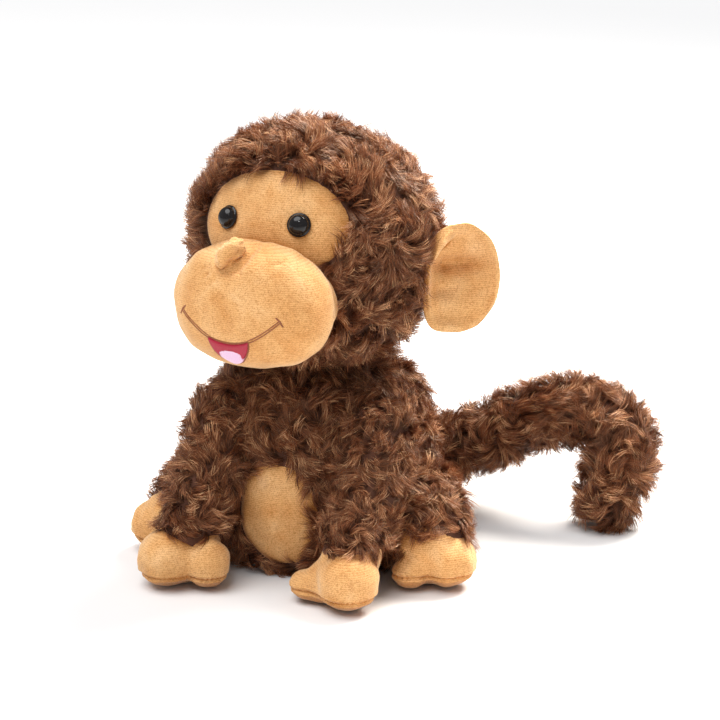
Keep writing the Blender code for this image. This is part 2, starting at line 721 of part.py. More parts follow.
def mitten(paw, offset):
    """(upper rings, lower rings, top pole, bottom pole) of a stuffed mitten, grown by an offset.

    Its top falls from its full height at thin_from to half of it at thin_to.
    """
    centre = np.array(paw["centre"])
    outline = mitten_outline(paw["lobes"], centre)
    thin_from = np.array(paw["thin_from"])
    line = np.array(paw["thin_to"]) - thin_from
    seam_z = paw["seam_z"]

    def height(p):
        return 1 - 0.5 * np.clip((p - thin_from) @ line / (line @ line), 0, 1)

    def ring(share, above):
        crown = (1 - share**2.3) ** (1 / 2.3)
        rows = []
        for p in outline:
            arm = p - centre
            flat = centre + arm * share * (1 + offset / np.linalg.norm(arm))
            rise = (paw["top"] - seam_z + offset) * height(flat) if above else -(seam_z + offset)
            rows.append((flat[0], flat[1], seam_z + rise * crown))
        return rows

    shares = (0.6, 0.9, 1.0)
    top_pole = (*centre, seam_z + (paw["top"] - seam_z + offset) * height(centre))
    return [ring(s, True) for s in shares], [ring(s, False) for s in shares], top_pole, (*centre, -offset)


def half_shell(outer, inner, outer_pole, inner_pole, seam_shift):
    """One panel of a mitten: outer rings and inner rings, both from the middle out, cut off at the seam."""

    def lifted(rings):
        last = [(x, y, z + seam_shift) for x, y, z in rings[-1]]
        return rings[:-1] + [last]

    return skin(lifted(outer) + lifted(inner)[::-1], outer_pole, inner_pole)


def make_paw(place, name, paw, parent):
    """A mitten of two panels and its stuffing. Returns a cutter a little larger than all of it."""
    out_up, out_low, out_top, out_floor = mitten(paw, 0.0)
    in_up, in_low, in_top, in_floor = mitten(paw, -BACKING)
    upper = half_shell(out_up, in_up, out_top, in_top, GAP / 2)
    lower = half_shell(out_low, in_low, out_floor, in_floor, -GAP / 2)
    solid(name + "_upper", upper, "tan_plush", parent, place)
    solid(name + "_" + paw["under"], lower, "tan_plush", parent, place)

    def whole(offset):
        up, low, top, floor = mitten(paw, offset)
        return skin(up + low[:-1][::-1], top, floor)

    solid(name + "_stuffing", whole(-BACKING - 2 * GAP), "stuffing", parent, place)
    return cutter("cut_" + name, whole(3 * GAP), parent, place)


def make_limb(name, route, radii, paw_cutter, parent):
    """A fur sleeve with a ball-shaped root, and its stuffing, both ending at the paw's surface."""

    def grown(offset):
        return round_ended(route, [r + offset for r in radii], LIMB_SIDES, (65, 40, 18), ())

    outer, outer_start, _ = grown(PILE)
    inner, inner_start, _ = grown(-BACKING)
    cover = solid(name + "_cover", skin(outer + inner[::-1], outer_start, inner_start), "fur", parent)
    fill, fill_start, fill_end = grown(-BACKING - GAP)
    stuffing = solid(name + "_stuffing", skin(fill, fill_start, fill_end), "stuffing", parent)
    boolean(cover, paw_cutter)
    boolean(stuffing, paw_cutter)


def make_arms():
    sockets = []
    for name, route in ARM_ROUTES.items():
        side = 1 if name == "left" else -1
        parent = axis_empty(name + "_shoulder_axis", Matrix.Translation(route[0]))
        hand = make_paw(Matrix.Scale(side, 4, (1, 0, 0)), name + "_hand", HAND, parent)
        make_limb(name + "_arm", route, ARM_RADII, hand, parent)
        sizes = [r + PILE + ARM_GROOVE for r in ARM_RADII]
        rings, start, end = round_ended(route, sizes, LIMB_SIDES, (65, 40, 18), ())
        sockets.append(cutter("cut_" + name + "_arm", skin(rings, start, end)))
        room = ball(route[0], ARM_RADII[0] + PILE + SHOULDER_ROOM, 14, 8)
        sockets.append(cutter("cut_" + name + "_shoulder", room))
    return sockets


def make_legs():
    sockets = []
    right = Matrix.Translation((RIGHT_LEG_SHIFT, 0, 0)) @ Matrix.Scale(-1, 4, (1, 0, 0))
    for name, place in (("left", Matrix.Identity(4)), ("right", right)):
        route = [place @ Vector(p) for p in LEG_ROUTE]
        parent = axis_empty(name + "_hip_axis", Matrix.Translation(route[0]))
        foot = make_paw(place, name + "_foot", FOOT, parent)
        make_limb(name + "_leg", route, LEG_RADII[name], foot, parent)
        room = ball(route[0], LEG_RADII[name][0] + PILE + HIP_ROOM, 14, 8)
        sockets.append(cutter("cut_" + name + "_hip", room))
    return sockets


# ---------------------------------------------------------------- tail


def make_tail():
    """Three stuffed sections, each a cover round its stuffing, that meet at the tail's bends."""
    line = smooth_through(TAIL_ROUTE, 4)
    travelled = np.concatenate([[0], np.cumsum(np.linalg.norm(np.diff(line, axis=0), axis=1))])
    length = travelled[-1]
    sections = zip(TAIL_CUTS, TAIL_CUTS[1:], ("tail_base", "tail_middle", "tail_end"))
    parent = None
    for low, high, name in sections:
        ends = np.array([low, high]) * length
        pivot = Vector([float(np.interp(ends[0], travelled, line[:, i])) for i in range(3)])
        parent = axis_empty(name + "_axis", Matrix.Translation(pivot), parent)

        start = ends[0] + (TAIL_RADIUS + PILE + TAIL_JOINT_GAP / 2 if low > 0 else 0.0)
        stop = ends[1] - (TAIL_RADIUS + PILE + TAIL_JOINT_GAP / 2 if high < 1 else 0.0)
        along = np.linspace(start, stop, 6)
        route = np.stack([np.interp(along, travelled, line[:, i]) for i in range(3)], 1)

        def section(offset, start_round, end_round):
            sizes = [TAIL_RADIUS + offset] * len(route)
            return round_ended(route, sizes, TAIL_SIDES, start_round, end_round)

        closed_end = (35, 65) if high == 1 else ()
        outer, _, outer_end = section(PILE, (50, 25), closed_end or (25, 50))
        inner, _, inner_end = section(-BACKING, (), closed_end)
        if closed_end:
            shape = skin(inner[::-1] + outer, inner_end, outer_end)
        else:
            shape = skin(outer + inner[::-1])
        solid(name + "_cover", shape, "fur", parent)
        fill, fill_start, fill_end = section(-BACKING - GAP, (), closed_end)
        solid(name + "_stuffing", skin(fill, fill_start, fill_end), "stuffing", parent)


def main():
    clear_scene()
    neck_socket = cutter("cut_neck", ball(NECK, NECK_RADIUS + 2 * SOCKET_GAP, 18, 9))
    tail_room = ball(TAIL_ROUTE[0], TAIL_RADIUS + PILE + TAIL_ROOM, 14, 8)
    sockets = [neck_socket, cutter("cut_tail", tail_room)] + make_arms() + make_legs()
    make_body(sockets)
    make_head(neck_socket)
    make_tail()


main()
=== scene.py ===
"""The looks of the plush monkey: curly fur, short-pile panels, eyes and embroidery round its CAD frame.

Metres, +Z up. The toy faces -Y, its own left is +X, and it sits on z = 0.
"""

import json
import math

import bpy
import numpy as np
from mathutils import Matrix, Vector
from mathutils.bvhtree import BVHTree
from mathutils.kdtree import KDTree

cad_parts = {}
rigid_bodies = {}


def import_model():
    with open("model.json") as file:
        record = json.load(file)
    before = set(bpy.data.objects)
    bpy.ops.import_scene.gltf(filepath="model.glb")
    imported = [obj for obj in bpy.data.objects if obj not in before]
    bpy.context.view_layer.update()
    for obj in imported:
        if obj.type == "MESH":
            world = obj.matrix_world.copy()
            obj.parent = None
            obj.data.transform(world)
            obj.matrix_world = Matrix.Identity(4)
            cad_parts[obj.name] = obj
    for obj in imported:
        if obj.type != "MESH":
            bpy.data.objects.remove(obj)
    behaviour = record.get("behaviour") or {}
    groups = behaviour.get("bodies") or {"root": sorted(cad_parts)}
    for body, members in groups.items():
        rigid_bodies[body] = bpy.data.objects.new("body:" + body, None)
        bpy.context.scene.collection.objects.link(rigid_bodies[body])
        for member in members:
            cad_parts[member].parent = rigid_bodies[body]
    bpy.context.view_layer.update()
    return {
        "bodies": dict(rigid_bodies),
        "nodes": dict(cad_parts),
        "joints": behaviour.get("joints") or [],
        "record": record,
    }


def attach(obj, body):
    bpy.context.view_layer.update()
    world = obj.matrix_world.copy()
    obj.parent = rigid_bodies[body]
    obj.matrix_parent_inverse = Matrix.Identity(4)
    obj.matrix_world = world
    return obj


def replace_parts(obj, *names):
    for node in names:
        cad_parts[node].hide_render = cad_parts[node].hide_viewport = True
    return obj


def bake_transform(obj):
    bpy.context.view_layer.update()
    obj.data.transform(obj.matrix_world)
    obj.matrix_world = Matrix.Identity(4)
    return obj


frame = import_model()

# ---------------------------------------------------------------- the forms that the pile grows on

# Body: backing cloth as (height, radius)
BODY_PROFILE = (
    (0.000, 0.0520),
    (0.004, 0.0605),
    (0.014, 0.0660),
    (0.032, 0.0685),
    (0.052, 0.0690),
    (0.070, 0.0680),
    (0.084, 0.0655),
    (0.096, 0.0620),
    (0.105, 0.0570),
    (0.113, 0.0480),
    (0.119, 0.0385),
    (0.1225, 0.0320),
)
BELLY_CENTRE_Z = 0.0405
BELLY_HALF_WIDTH = 0.0245
BELLY_HALF_HEIGHT = 0.0315

# Head, with its own frame
HEAD_CENTRE = Vector((0.0015, -0.009, 0.1960))
HEAD_TURN = math.radians(-8.5)
HEAD_LOOK_UP = math.radians(4.7)
HEAD_HALF = (0.072, 0.064, 0.066)
HEAD_POWERS = (2.15, 2.7)
FACE_HALF_WIDTH = 0.0475
FACE_X = 0.0020
FACE_CENTRE_Z = 0.0150
FACE_HALF_HEIGHT = 0.0315
MUZZLE_CENTRE = (0.0036, -0.0715, -0.0296)
MUZZLE_HALF = (0.0515, 0.0325, 0.0375)
MUZZLE_POWER = 2.5
MUZZLE_ROUNDNESS = 2.28
MUZZLE_SEAM = (0.0385, 0.0300)
MUZZLE_PINCH = 0.20  # how much narrower it is where it is sewn on
EYE_X = 0.0232
EYE_Z = 0.0165
EYE_RADIUS = 0.0070
EYE_HEIGHT = 0.0046
NOSE_X = -0.0012  # gathered a little to one side
NOSE_CENTRE_Z = 0.0016
NOSE_HALF = (0.0106, 0.0082, 0.0060)
NOSE_FORWARD = 0.0008
SMILE_HALF_WIDTH = 0.0322
SMILE_LOW_Z = -0.0490
SMILE_RISE = 0.0162
MOUTH_X = 0.0028
MOUTH_HALF_WIDTH = 0.0130
MOUTH_CORNER_LIFT = 0.0024
MOUTH_DROP = 0.0122
TONGUE_HALF_WIDTH = 0.0094
TONGUE_TOP = 0.0062  # below the mouth's top
TONGUE_DROP = 0.0060
# Creases in the muzzle's cloth: (x, z) from, (x, z) to, depth
MUZZLE_CREASES = (
    ((-0.0120, -0.0060), (-0.0200, -0.0085), 0.0010),
    ((-0.0105, -0.0090), (-0.0165, -0.0135), 0.0009),
    ((-0.0060, -0.0095), (-0.0075, -0.0150), 0.0007),
    ((0.0055, -0.0065), (0.0110, -0.0095), 0.0008),
    ((0.0240, -0.0030), (0.0330, 0.0005), 0.0009),
)
EAR_ROOT = (0.0735, 0.002, -0.016)
EAR_SWEEP = math.radians(45)
EAR_HALF_HEIGHT = 0.0325
EAR_WIDTH = 0.0475
EAR_DISH = 0.0105

ARM_ROUTES = {
    "left": (
        (0.0560, -0.0450, 0.092),
        (0.0560, -0.0580, 0.074),
        (0.0550, -0.0680, 0.056),
        (0.0540, -0.0800, 0.039),
        (0.0530, -0.0920, 0.025),
    ),
    "right": (
        (-0.0400, -0.0470, 0.092),
        (-0.0410, -0.0640, 0.074),
        (-0.0430, -0.0770, 0.055),
        (-0.0460, -0.0850, 0.038),
        (-0.0500, -0.0930, 0.025),
    ),
}
ARM_RADII = (0.0180, 0.0180, 0.0176, 0.0168, 0.0150)
LEG_ROUTE = (
    (0.0700, -0.0200, 0.0360),
    (0.0800, -0.0310, 0.0310),
    (0.0890, -0.0405, 0.0245),
    (0.0960, -0.0465, 0.0190),
)
LEG_RADII = {"left": (0.0260, 0.0245, 0.0195, 0.0150), "right": (0.0235, 0.0215, 0.0180, 0.0145)}
RIGHT_LEG_SHIFT = 0.0105
TAIL_ROUTE = (
    (0.0040, 0.0745, 0.0340),
    (0.0140, 0.0910, 0.0350),
    (0.0360, 0.0980, 0.0370),
    (0.0620, 0.0990, 0.0420),
    (0.0820, 0.0990, 0.0505),
    (0.1000, 0.0990, 0.0600),
    (0.1180, 0.0990, 0.0675),
    (0.1410, 0.0980, 0.0720),
    (0.1590, 0.0960, 0.0680),
    (0.1695, 0.0940, 0.0570),
    (0.1705, 0.0920, 0.0440),
    (0.1660, 0.0900, 0.0290),
    (0.1635, 0.0888, 0.0200),
)
TAIL_RADIUS = 0.0160
TAIL_CUTS = (0.0, 0.38, 0.68, 1.0)  # its joints, as shares of its length
TAIL_LENGTH = 0.0175
NECK = Vector((0.0005, -0.0095, 0.128))
NECK_RADIUS = 0.0210
SEAT_RADIUS = 0.0500
BELLY_POWER = 2.4
BODY_CROWN = ((0.1238, 0.0260), (0.1242, 0.0160))  # the last of the body's rings, under the neck
NOSE_SLANT = math.radians(48)
TONGUE_ARCH = 0.0020
# For each length of the tail's pile: its body, the body of the section past the joint that it spans (such a
# length is put on no body), and the CAD cover that it replaces
TAIL_LENGTHS = (
    ("tail_base", None, "tail_base_cover"),
    ("tail_base", "tail_middle", "tail_middle_cover"),
    ("tail_middle", "tail_end", None),
    ("tail_end", None, "tail_end_cover"),
)
FACE_MIDDLE_Z = -0.006  # the point that the face opening is measured from, in the head's frame
FACE_OVERLAP = 0.0014  # how far the pile's roots come inside the face's edge
CUFF_Z = {"left": 0.0335, "right": 0.0330}  # where the fur sleeves end
FOOT_MIDDLE = (0.0980, -0.0540, 0.0200)
FOOT_REACH = 0.0190
EAR_EDGE = 0.0034
EAR_FOLD_Z = EAR_ROOT[2] + 0.007
EAR_PLANE = -0.004  # the middle of the ear's thickness at its root

# ---------------------------------------------------------------- pile

FUR_LENGTH = 0.0160
FUR_WIDTH = 0.00031
BACKING_GROWTH = 0.0006  # how far the backing stands off the form under it
FUR_PER_MM2 = 1.85
GUIDES_PER_MM2 = 0.13
ROSETTE_SPACING = 0.0150
STRAND_LEVELS = (0.0, 0.3, 0.58, 0.82, 1.0)
STRAND_WIDTHS = (1.0, 1.0, 0.85, 0.6, 0.0)
ARM_PILE = 0.0132
NECK_PILE = 0.010
FLOOR_CLEARANCE = 0.0004
ROOT_COLOUR = np.array([0.018, 0.006, 0.003])
DARK_COLOUR = np.array([0.082, 0.022, 0.010])
COPPER_COLOUR = np.array([0.560, 0.205, 0.085])
GOLD_COLOUR = np.array([1.000, 0.600, 0.320])

# ---------------------------------------------------------------- stuffed forms

SOFT_VOXEL = 0.0020
SOFT_CAP = 0.0030
SOFT_PRESSURE = 4.0
SOFT_FRAMES = 20
WELD = 0.00002
THREAD_WELD = 0.000004
THREAD_PITCH = 0.00050

# Hands and feet, given for the left side: the lobes of their stuffing, as (x, y, z, radius, half height)
LEFT_HAND = {
    "lobes": (
        (0.0570, -0.1010, 0.0178, 0.0192, 0.0178),
        (0.0500, -0.0920, 0.0190, 0.0160, 0.0190),
        (0.0450, -0.0955, 0.0150, 0.0152, 0.0150),
        (0.0385, -0.0958, 0.0122, 0.0124, 0.0122),
        (0.0292, -0.0962, 0.0102, 0.0108, 0.0100),
        (0.0545, -0.0860, 0.0290, 0.0178, 0.0175),
    ),
    "centre": (0.0490, -0.0970),
    "seam_z": 0.0095,
}
RIGHT_HAND = {
    "lobes": (
        (0.0570, -0.1010, 0.0178, 0.0192, 0.0178),
        (0.0500, -0.0920, 0.0190, 0.0160, 0.0190),
        (0.0330, -0.0970, 0.0162, 0.0142, 0.0162),
        (0.0420, -0.0890, 0.0230, 0.0140, 0.0160),
    ),
    "centre": (0.0450, -0.0970),
    "seam_z": 0.0095,
}
FOOT = {
    "lobes": (
        (0.0985, -0.0455, 0.0165, 0.0190, 0.0165),
        (0.0870, -0.0440, 0.0212, 0.0215, 0.0212),
        (0.0800, -0.0580, 0.0108, 0.0116, 0.0108),
    ),
    "centre": (0.0890, -0.0470),
    "seam_z": 0.0105,
}
PAW_INSET = 0.0008  # the form before its stuffing swells it

# ---------------------------------------------------------------- number and mesh tools


def unit(vectors):
    return vectors / np.maximum(np.linalg.norm(vectors, axis=-1, keepdims=True), 1e-9)


def bell(values, centre, width):
    """1 at the centre, falling off smoothly on both sides."""
    return np.exp(-(((values - centre) / width) ** 2))


def rise(values, start, end):
    """0 up to the start, 1 from the end on, and a straight ramp between them."""
    return np.clip((values - start) / (end - start), 0, 1)


def nearest(points, targets):
    """For each point, the index of the nearest target."""
    tree = KDTree(len(targets))
    for i, target in enumerate(targets):
        tree.insert(target, i)
    tree.balance()
    return np.array([tree.find(p)[1] for p in points])


def points_of(x, y, z):
    """Points from their coordinates, any of which may be one number for all of them."""
    return np.stack(np.broadcast_arrays(x, y, z), -1)


def circle_angles(sides):
    return np.arange(sides) * 2 * math.pi / sides


def distances_along(path):
    steps = np.linalg.norm(np.diff(path, axis=0), axis=1)
    return np.concatenate([[0], np.cumsum(steps)])


def point_along(path, travelled, at):
    """The point of a path where the way travelled along it is `at`."""
    return np.array([np.interp(at, travelled, column) for column in path.T])


def smooth_through(points, steps=5):
    """Points on a smooth curve through the given ones, with `steps` between each pair."""
    p = np.array(points, float)
    p = np.vstack([2 * p[0] - p[1], p, 2 * p[-1] - p[-2]])
    t = (np.arange(steps) / steps)[:, None]
    out = []
    for a, b, c, d in zip(p, p[1:], p[2:], p[3:]):
        bend, twist = 2 * a - 5 * b + 4 * c - d, 3 * b - a - 3 * c + d
        out.append(0.5 * (2 * b + (c - a) * t + bend * t**2 + twist * t**3))
    out.append(p[-2:-1])
    return np.vstack(out)


def wavy(points, scale, seed):
    """Smooth noise from -1 to 1 at points, from a few crossing waves."""
    rng = np.random.default_rng(seed)
    total = np.zeros(len(points))
    for _ in range(7):
        way = points @ unit(rng.normal(0, 1, 3)) * 2 * math.pi / scale
        total += np.sin(way * rng.uniform(0.6, 1.6) + rng.uniform(0, 6.3))
    return total / 3.5


def mesh_of(name, verts, faces_by_size, finish, smooth=True):
    """A mesh from numpy arrays. faces_by_size is a list of (faces, corners) index arrays."""
    corners = np.concatenate([f.reshape(-1) for f in faces_by_size]).astype(np.int32)
    sizes = np.concatenate([np.full(len(f), f.shape[1]) for f in faces_by_size])
    starts = np.concatenate([[0], np.cumsum(sizes)[:-1]]).astype(np.int32)
    mesh = bpy.data.meshes.new(name)
    mesh.vertices.add(len(verts))
    mesh.vertices.foreach_set("co", np.asarray(verts, np.float32).reshape(-1))
    mesh.loops.add(len(corners))
    mesh.loops.foreach_set("vertex_index", corners)
    mesh.polygons.add(len(sizes))
    mesh.polygons.foreach_set("loop_start", starts)
    mesh.update(calc_edges=True)
    if smooth:
        mesh.shade_smooth()
    mesh.materials.append(material(finish))
    return linked(bpy.data.objects.new(name, mesh))


def linked(obj):
    bpy.context.collection.objects.link(obj)
    return obj


def read(mesh, what="co"):
    """The vertices' places, or their normals, as rows."""
    values = np.empty(len(mesh.vertices) * 3, np.float32)
    mesh.vertices.foreach_get(what, values)
    return values.reshape(-1, 3).astype(float)


def write_points(mesh, points):
    mesh.vertices.foreach_set("co", np.asarray(points, np.float32).reshape(-1))
    mesh.update()


def apply_modifiers(obj):
    bpy.context.view_layer.update()
    graph = bpy.context.evaluated_depsgraph_get()
    made = bpy.data.meshes.new_from_object(obj.evaluated_get(graph))
    obj.modifiers.clear()
    old = obj.data
    obj.data = made
    bpy.data.meshes.remove(old)


class Skin:
    """A surface as rings of points, closed round each ring and at its ends, with outward normals."""

    def __init__(self, rings, open_start=False):
        rings = np.asarray(rings, float)
        start, end = (np.broadcast_to(rings[i].mean(0), rings[:1].shape) for i in (0, -1))
        self.rings = np.concatenate(([] if open_start else [start]) + [rings, end])
        rows, sides = self.rings.shape[:2]
        row, side = np.meshgrid(np.arange(rows - 1) * sides, np.arange(sides), indexing="ij")
        after = (side + 1) % sides
        quads = np.stack([row + side, row + after, row + sides + after, row + sides + side], -1)
        self.quads = quads.reshape(-1, 4)
        self.verts = self.rings.reshape(-1, 3)
        self.normals = self.vertex_normals()

    def vertex_normals(self):
        a, b, c, d = (self.verts[self.quads[:, i]] for i in range(4))
        flat = np.cross(c - a, d - b)
        total = np.zeros_like(self.verts)
        for i in range(4):
            np.add.at(total, self.quads[:, i], flat)
        # the doubled points of a closed end share one normal
        sides = self.rings.shape[1]
        for end in (slice(0, sides), slice(-sides, None)):
            if np.ptp(self.verts[end], axis=0).max() < 1e-9:
                total[end] = total[end].sum(0)
        return unit(total)

    def flipped(self):
        self.quads = self.quads[:, ::-1]
        self.normals = -self.normals
        return self

    def sample(self, rng, per_mm2, keep=None):
        """Random (points, normals) over the surface."""
        tris = np.concatenate([self.quads[:, [0, 1, 2]], self.quads[:, [0, 2, 3]]])
        a, b, c = (self.verts[tris[:, i]] for i in range(3))
        areas = np.linalg.norm(np.cross(b - a, c - a), axis=1) / 2
        count = int(areas.sum() * 1e6 * per_mm2)
        chosen = rng.choice(len(tris), count, p=areas / areas.sum())
        u, v = rng.random((2, count))
        over = u + v > 1
        u[over], v[over] = 1 - u[over], 1 - v[over]
        weights = np.stack([1 - u - v, u, v], 1)
        points = np.einsum("ni,nij->nj", weights, self.verts[tris[chosen]])
        normals = unit(np.einsum("ni,nij->nj", weights, self.normals[tris[chosen]]))
        if keep is not None:
            kept = keep(points)
            points, normals = points[kept], normals[kept]
        return points, normals

    def moved(self, matrix):
        """The same skin placed by a 4x4 matrix."""
        matrix = np.array(matrix)
        self.verts = self.verts @ matrix[:3, :3].T + matrix[:3, 3]
        self.normals = self.normals @ matrix[:3, :3].T
        self.rings = self.verts.reshape(self.rings.shape)
        return self


def merged(skins):
    """The points and quads of several skins as one."""
    offsets = np.cumsum([0] + [len(s.verts) for s in skins])
    quads = np.concatenate([s.quads + o for s, o in zip(skins, offsets)])
    return np.concatenate([s.verts for s in skins]), quads


def placed(obj, body):
    """Puts a piece on the body that it rides on, if it has one."""
    if body:
        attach(obj, body)
    return obj


def solid(name, skins, finish, body, weld=WELD):
    """A piece made of closed skins, with the doubled points at their ends welded."""
    verts, quads = merged(skins)
    obj = mesh_of(name, verts, [quads], finish)
    obj.modifiers.new("weld", "WELD").merge_threshold = weld
    apply_modifiers(obj)
    return placed(obj, body)


def turned(profile, sides):
    """A skin about Z through (height, radius) pairs."""
    angles = circle_angles(sides)
    return Skin([points_of(r * np.cos(angles), r * np.sin(angles), z) for z, r in profile])


def ellipsoid_skin(centre, half, margin=0.04):
    angles = circle_angles(40)
    rings = []
    for polar in np.linspace(math.pi - margin, margin, 24):
        r = math.sin(polar)
        ring = points_of(r * np.cos(angles), r * np.sin(angles), math.cos(polar)) * half
        rings.append(np.array(centre) + ring)
    return Skin(rings)


def superellipse(angles, half_width, half_height, power):
    c, s = np.cos(angles), np.sin(angles)
    x = half_width * np.sign(c) * np.abs(c) ** (2 / power)
    return x, half_height * np.sign(s) * np.abs(s) ** (2 / power)


def tube_skin(route, radii, sides=24, start_dome=True, end_dome=False):
    """A closed skin round a route, with domed or flat ends."""
    route = np.asarray(route, float)
    radii = np.asarray(radii, float)
    first = unit(route[1] - route[0])
    last = unit(route[-1] - route[-2])
    if start_dome:
        turns = np.radians(np.arange(84, 0, -12))
        route = np.vstack([route[0] - first * (radii[0] * np.sin(turns))[:, None], route])
        radii = np.concatenate([radii[0] * np.cos(turns), radii])
    if end_dome:
        turns = np.radians(np.arange(12, 90, 12))
        route = np.vstack([route, route[-1] + last * (radii[-1] * np.sin(turns))[:, None]])
        radii = np.concatenate([radii, radii[-1] * np.cos(turns)])
    ahead = unit(np.gradient(route, axis=0))
    up = np.array([0.0, 0.0, 1.0]) if abs(ahead[0][2]) < 0.9 else np.array([0.0, 1.0, 0.0])
    rings = []
    angles = circle_angles(sides)
    for point, t, r in zip(route, ahead, radii):
        up = unit(up - t * (up @ t))
        side = np.cross(t, up)
        rings.append(point + r * (side * np.cos(angles)[:, None] + up * np.sin(angles)[:, None]))
    skin = Skin(rings)
    middle = route[len(route) // 2]
    outward = skin.rings[len(route) // 2 + 1][0] - middle
    if skin.normals.reshape(skin.rings.shape)[len(route) // 2 + 1][0] @ outward < 0:
        skin.flipped()
    return skin


# ---------------------------------------------------------------- materials


class Look:
    """A material being made, with short ways to add the nodes used here."""

    def __init__(self, name, settings):
        self.material = bpy.data.materials.new(name)
        self.material.use_nodes = True
        self.nodes = self.material.node_tree.nodes
        self.shader = self.nodes["Principled BSDF"]
        self.fill(self.shader, settings)

    def fill(self, node, inputs):
        """Gives each input a value, or links another node's output to it."""
        for key, value in inputs.items():
            if isinstance(value, bpy.types.NodeSocket):
                self.material.node_tree.links.new(value, node.inputs[key])
            else:
                node.inputs[key].default_value = value

    def add(self, kind, inputs, **settings):
        node = self.nodes.new("ShaderNode" + kind)
        for key, value in settings.items():
            setattr(node, key, value)
        self.fill(node, inputs)
        return node

    def ramp(self, value, stops):
        """Colours along a value, from (position, colour) stops."""
        node = self.add("ValToRGB", {"Fac": value})
        first, last = node.color_ramp.elements
        for element, (position, colour) in ((first, stops[0]), (last, stops[-1])):
            element.position = position
            element.color = (*colour, 1)
        for position, colour in stops[1:-1]:
            node.color_ramp.elements.new(position).color = (*colour, 1)
        return node.outputs["Color"]

    def multiply(self, amount, first, second):
        mix = self.add("Mix", {0: amount, 6: first, 7: second}, data_type="RGBA", blend_type="MULTIPLY")
        return mix.outputs[2]


def fur_strands():
    """Each fibre carries its own tint. It shines warm, and lets light from behind glow through it."""
    shine = {"Roughness": 0.30, "Specular IOR Level": 0.80, "Specular Tint": (1.0, 0.70, 0.46, 1.0)}
    look = Look("fur_strands", shine)
    tint = look.add("VertexColor", {}, layer_name="Tint").outputs["Color"]
    look.fill(look.shader, {"Base Color": tint})
    glow = look.add("BsdfTranslucent", {"Color": tint})
    both = look.add("MixShader", {0: 0.28, 1: look.shader.outputs["BSDF"], 2: glow.outputs["BSDF"]})
    look.fill(look.nodes["Material Output"], {"Surface": both.outputs["Shader"]})
    return look.material


def tan_plush():
    """Short brushed pile: a grainy nap, faint knitted rows, patches brushed lighter and darker, and painted
    shade, warmer and darker, in its creases and under near parts.
    """
    sheen = {"Sheen Weight": 0.60, "Sheen Roughness": 0.40, "Sheen Tint": (1.0, 0.84, 0.62, 1.0)}
    look = Look("tan_plush", {"Roughness": 0.78, "Specular IOR Level": 0.15, **sheen})
    place = look.add("TexCoord", {}).outputs["Object"]

    def noise(scale, detail, distortion):
        texture = {"Vector": place, "Scale": scale, "Detail": detail, "Distortion": distortion}
        return look.add("TexNoise", texture).outputs["Fac"]

    brushed = [(0.28, (0.68, 0.345, 0.120)), (0.52, (0.77, 0.440, 0.185)), (0.76, (0.84, 0.530, 0.265))]
    patches = look.ramp(noise(60.0, 2.0, 0.4), brushed)
    nap = noise(1150.0, 3.0, 1.2)
    grain = look.ramp(nap, [(0.36, (0.60, 0.46, 0.32)), (0.54, WHITE)])
    wave = {"Vector": place, "Scale": 270.0, "Distortion": 3.0, "Detail": 2.0, "Detail Scale": 6.0}
    rows = look.add("TexWave", wave, bands_direction="Z").outputs["Fac"]
    knit = look.ramp(rows, [(0.0, (0.80, 0.70, 0.58)), (0.5, WHITE)])
    # painted shade: where the ambient occlusion finds a crease or a near part, the colour is made warmer and
    # darker
    open_sky = look.add("AmbientOcclusion", {"Distance": 0.022}, samples=8).outputs["AO"]
    fold = look.ramp(open_sky, [(0.30, (0.62, 0.40, 0.22)), (0.52, (0.92, 0.80, 0.62)), (0.76, WHITE)])
    colour = look.multiply(0.75, patches, grain)
    colour = look.multiply(0.80, colour, knit)
    # painted shade of the creases and near parts is multiplied into the colour
    colour = look.multiply(0.85, colour, fold)
    height = look.add("Math", {0: rows, 1: 0.35, 2: nap}, operation="MULTIPLY_ADD").outputs["Value"]
    bump = look.add("Bump", {"Strength": 0.55, "Distance": 0.0006, "Height": height})
    look.fill(look.shader, {"Base Color": colour, "Normal": bump.outputs["Normal"]})
    return look.material


def speckled(name, dark, light, roughness=0.45, scale=900.0, spread=(0.3, 0.7), specular=0.5):
    """Thread, cloth or plastic that varies between two colours."""
    look = Look(name, {"Roughness": roughness, "Specular IOR Level": specular})
    noise = look.add("TexNoise", {"Scale": scale}).outputs["Fac"]
    look.fill(look.shader, {"Base Color": look.ramp(noise, [(spread[0], dark), (spread[1], light)])})
    return look.material


WHITE = (1.0, 1.0, 1.0)
FLOOR_COLOUR = (0.80, 0.80, 0.805, 1.0)
SPECKLED = {
    "fur_backing": ((0.030, 0.010, 0.005), (0.150, 0.055, 0.028), 0.95, 700.0, (0.0, 1.0)),
    "eye_plastic": ((0.004, 0.0035, 0.004), (0.014, 0.012, 0.013), 0.06, 260.0, (0.0, 1.0), 0.32),
    "thread": ((0.20, 0.055, 0.020), (0.36, 0.115, 0.042)),
    "mouth_felt": ((0.30, 0.003, 0.022), (0.47, 0.008, 0.042)),
    "tongue_felt": ((0.72, 0.46, 0.66), (0.93, 0.72, 0.88)),
    "fibre_fill": ((0.66, 0.65, 0.61), (0.86, 0.85, 0.82), 0.9),
    "bag_cloth": ((0.58, 0.56, 0.50), (0.74, 0.72, 0.66), 0.85),
    "washer_plastic": ((0.70, 0.70, 0.68), (0.76, 0.76, 0.74), 0.4),
}
MADE = {}


def material(name):
    """The material of this name, made when it is first asked for."""
    if name not in MADE and name in SPECKLED:
        MADE[name] = speckled(name, *SPECKLED[name])
    elif name not in MADE:
        makers = {"fur_strands": fur_strands, "tan_plush": tan_plush, "floor": floor_finish}
        MADE[name] = makers[name]()
    return MADE[name]


def floor_finish():
    return Look("floor", {"Base Color": FLOOR_COLOUR, "Roughness": 0.8}).material


# ---------------------------------------------------------------- growing the pile


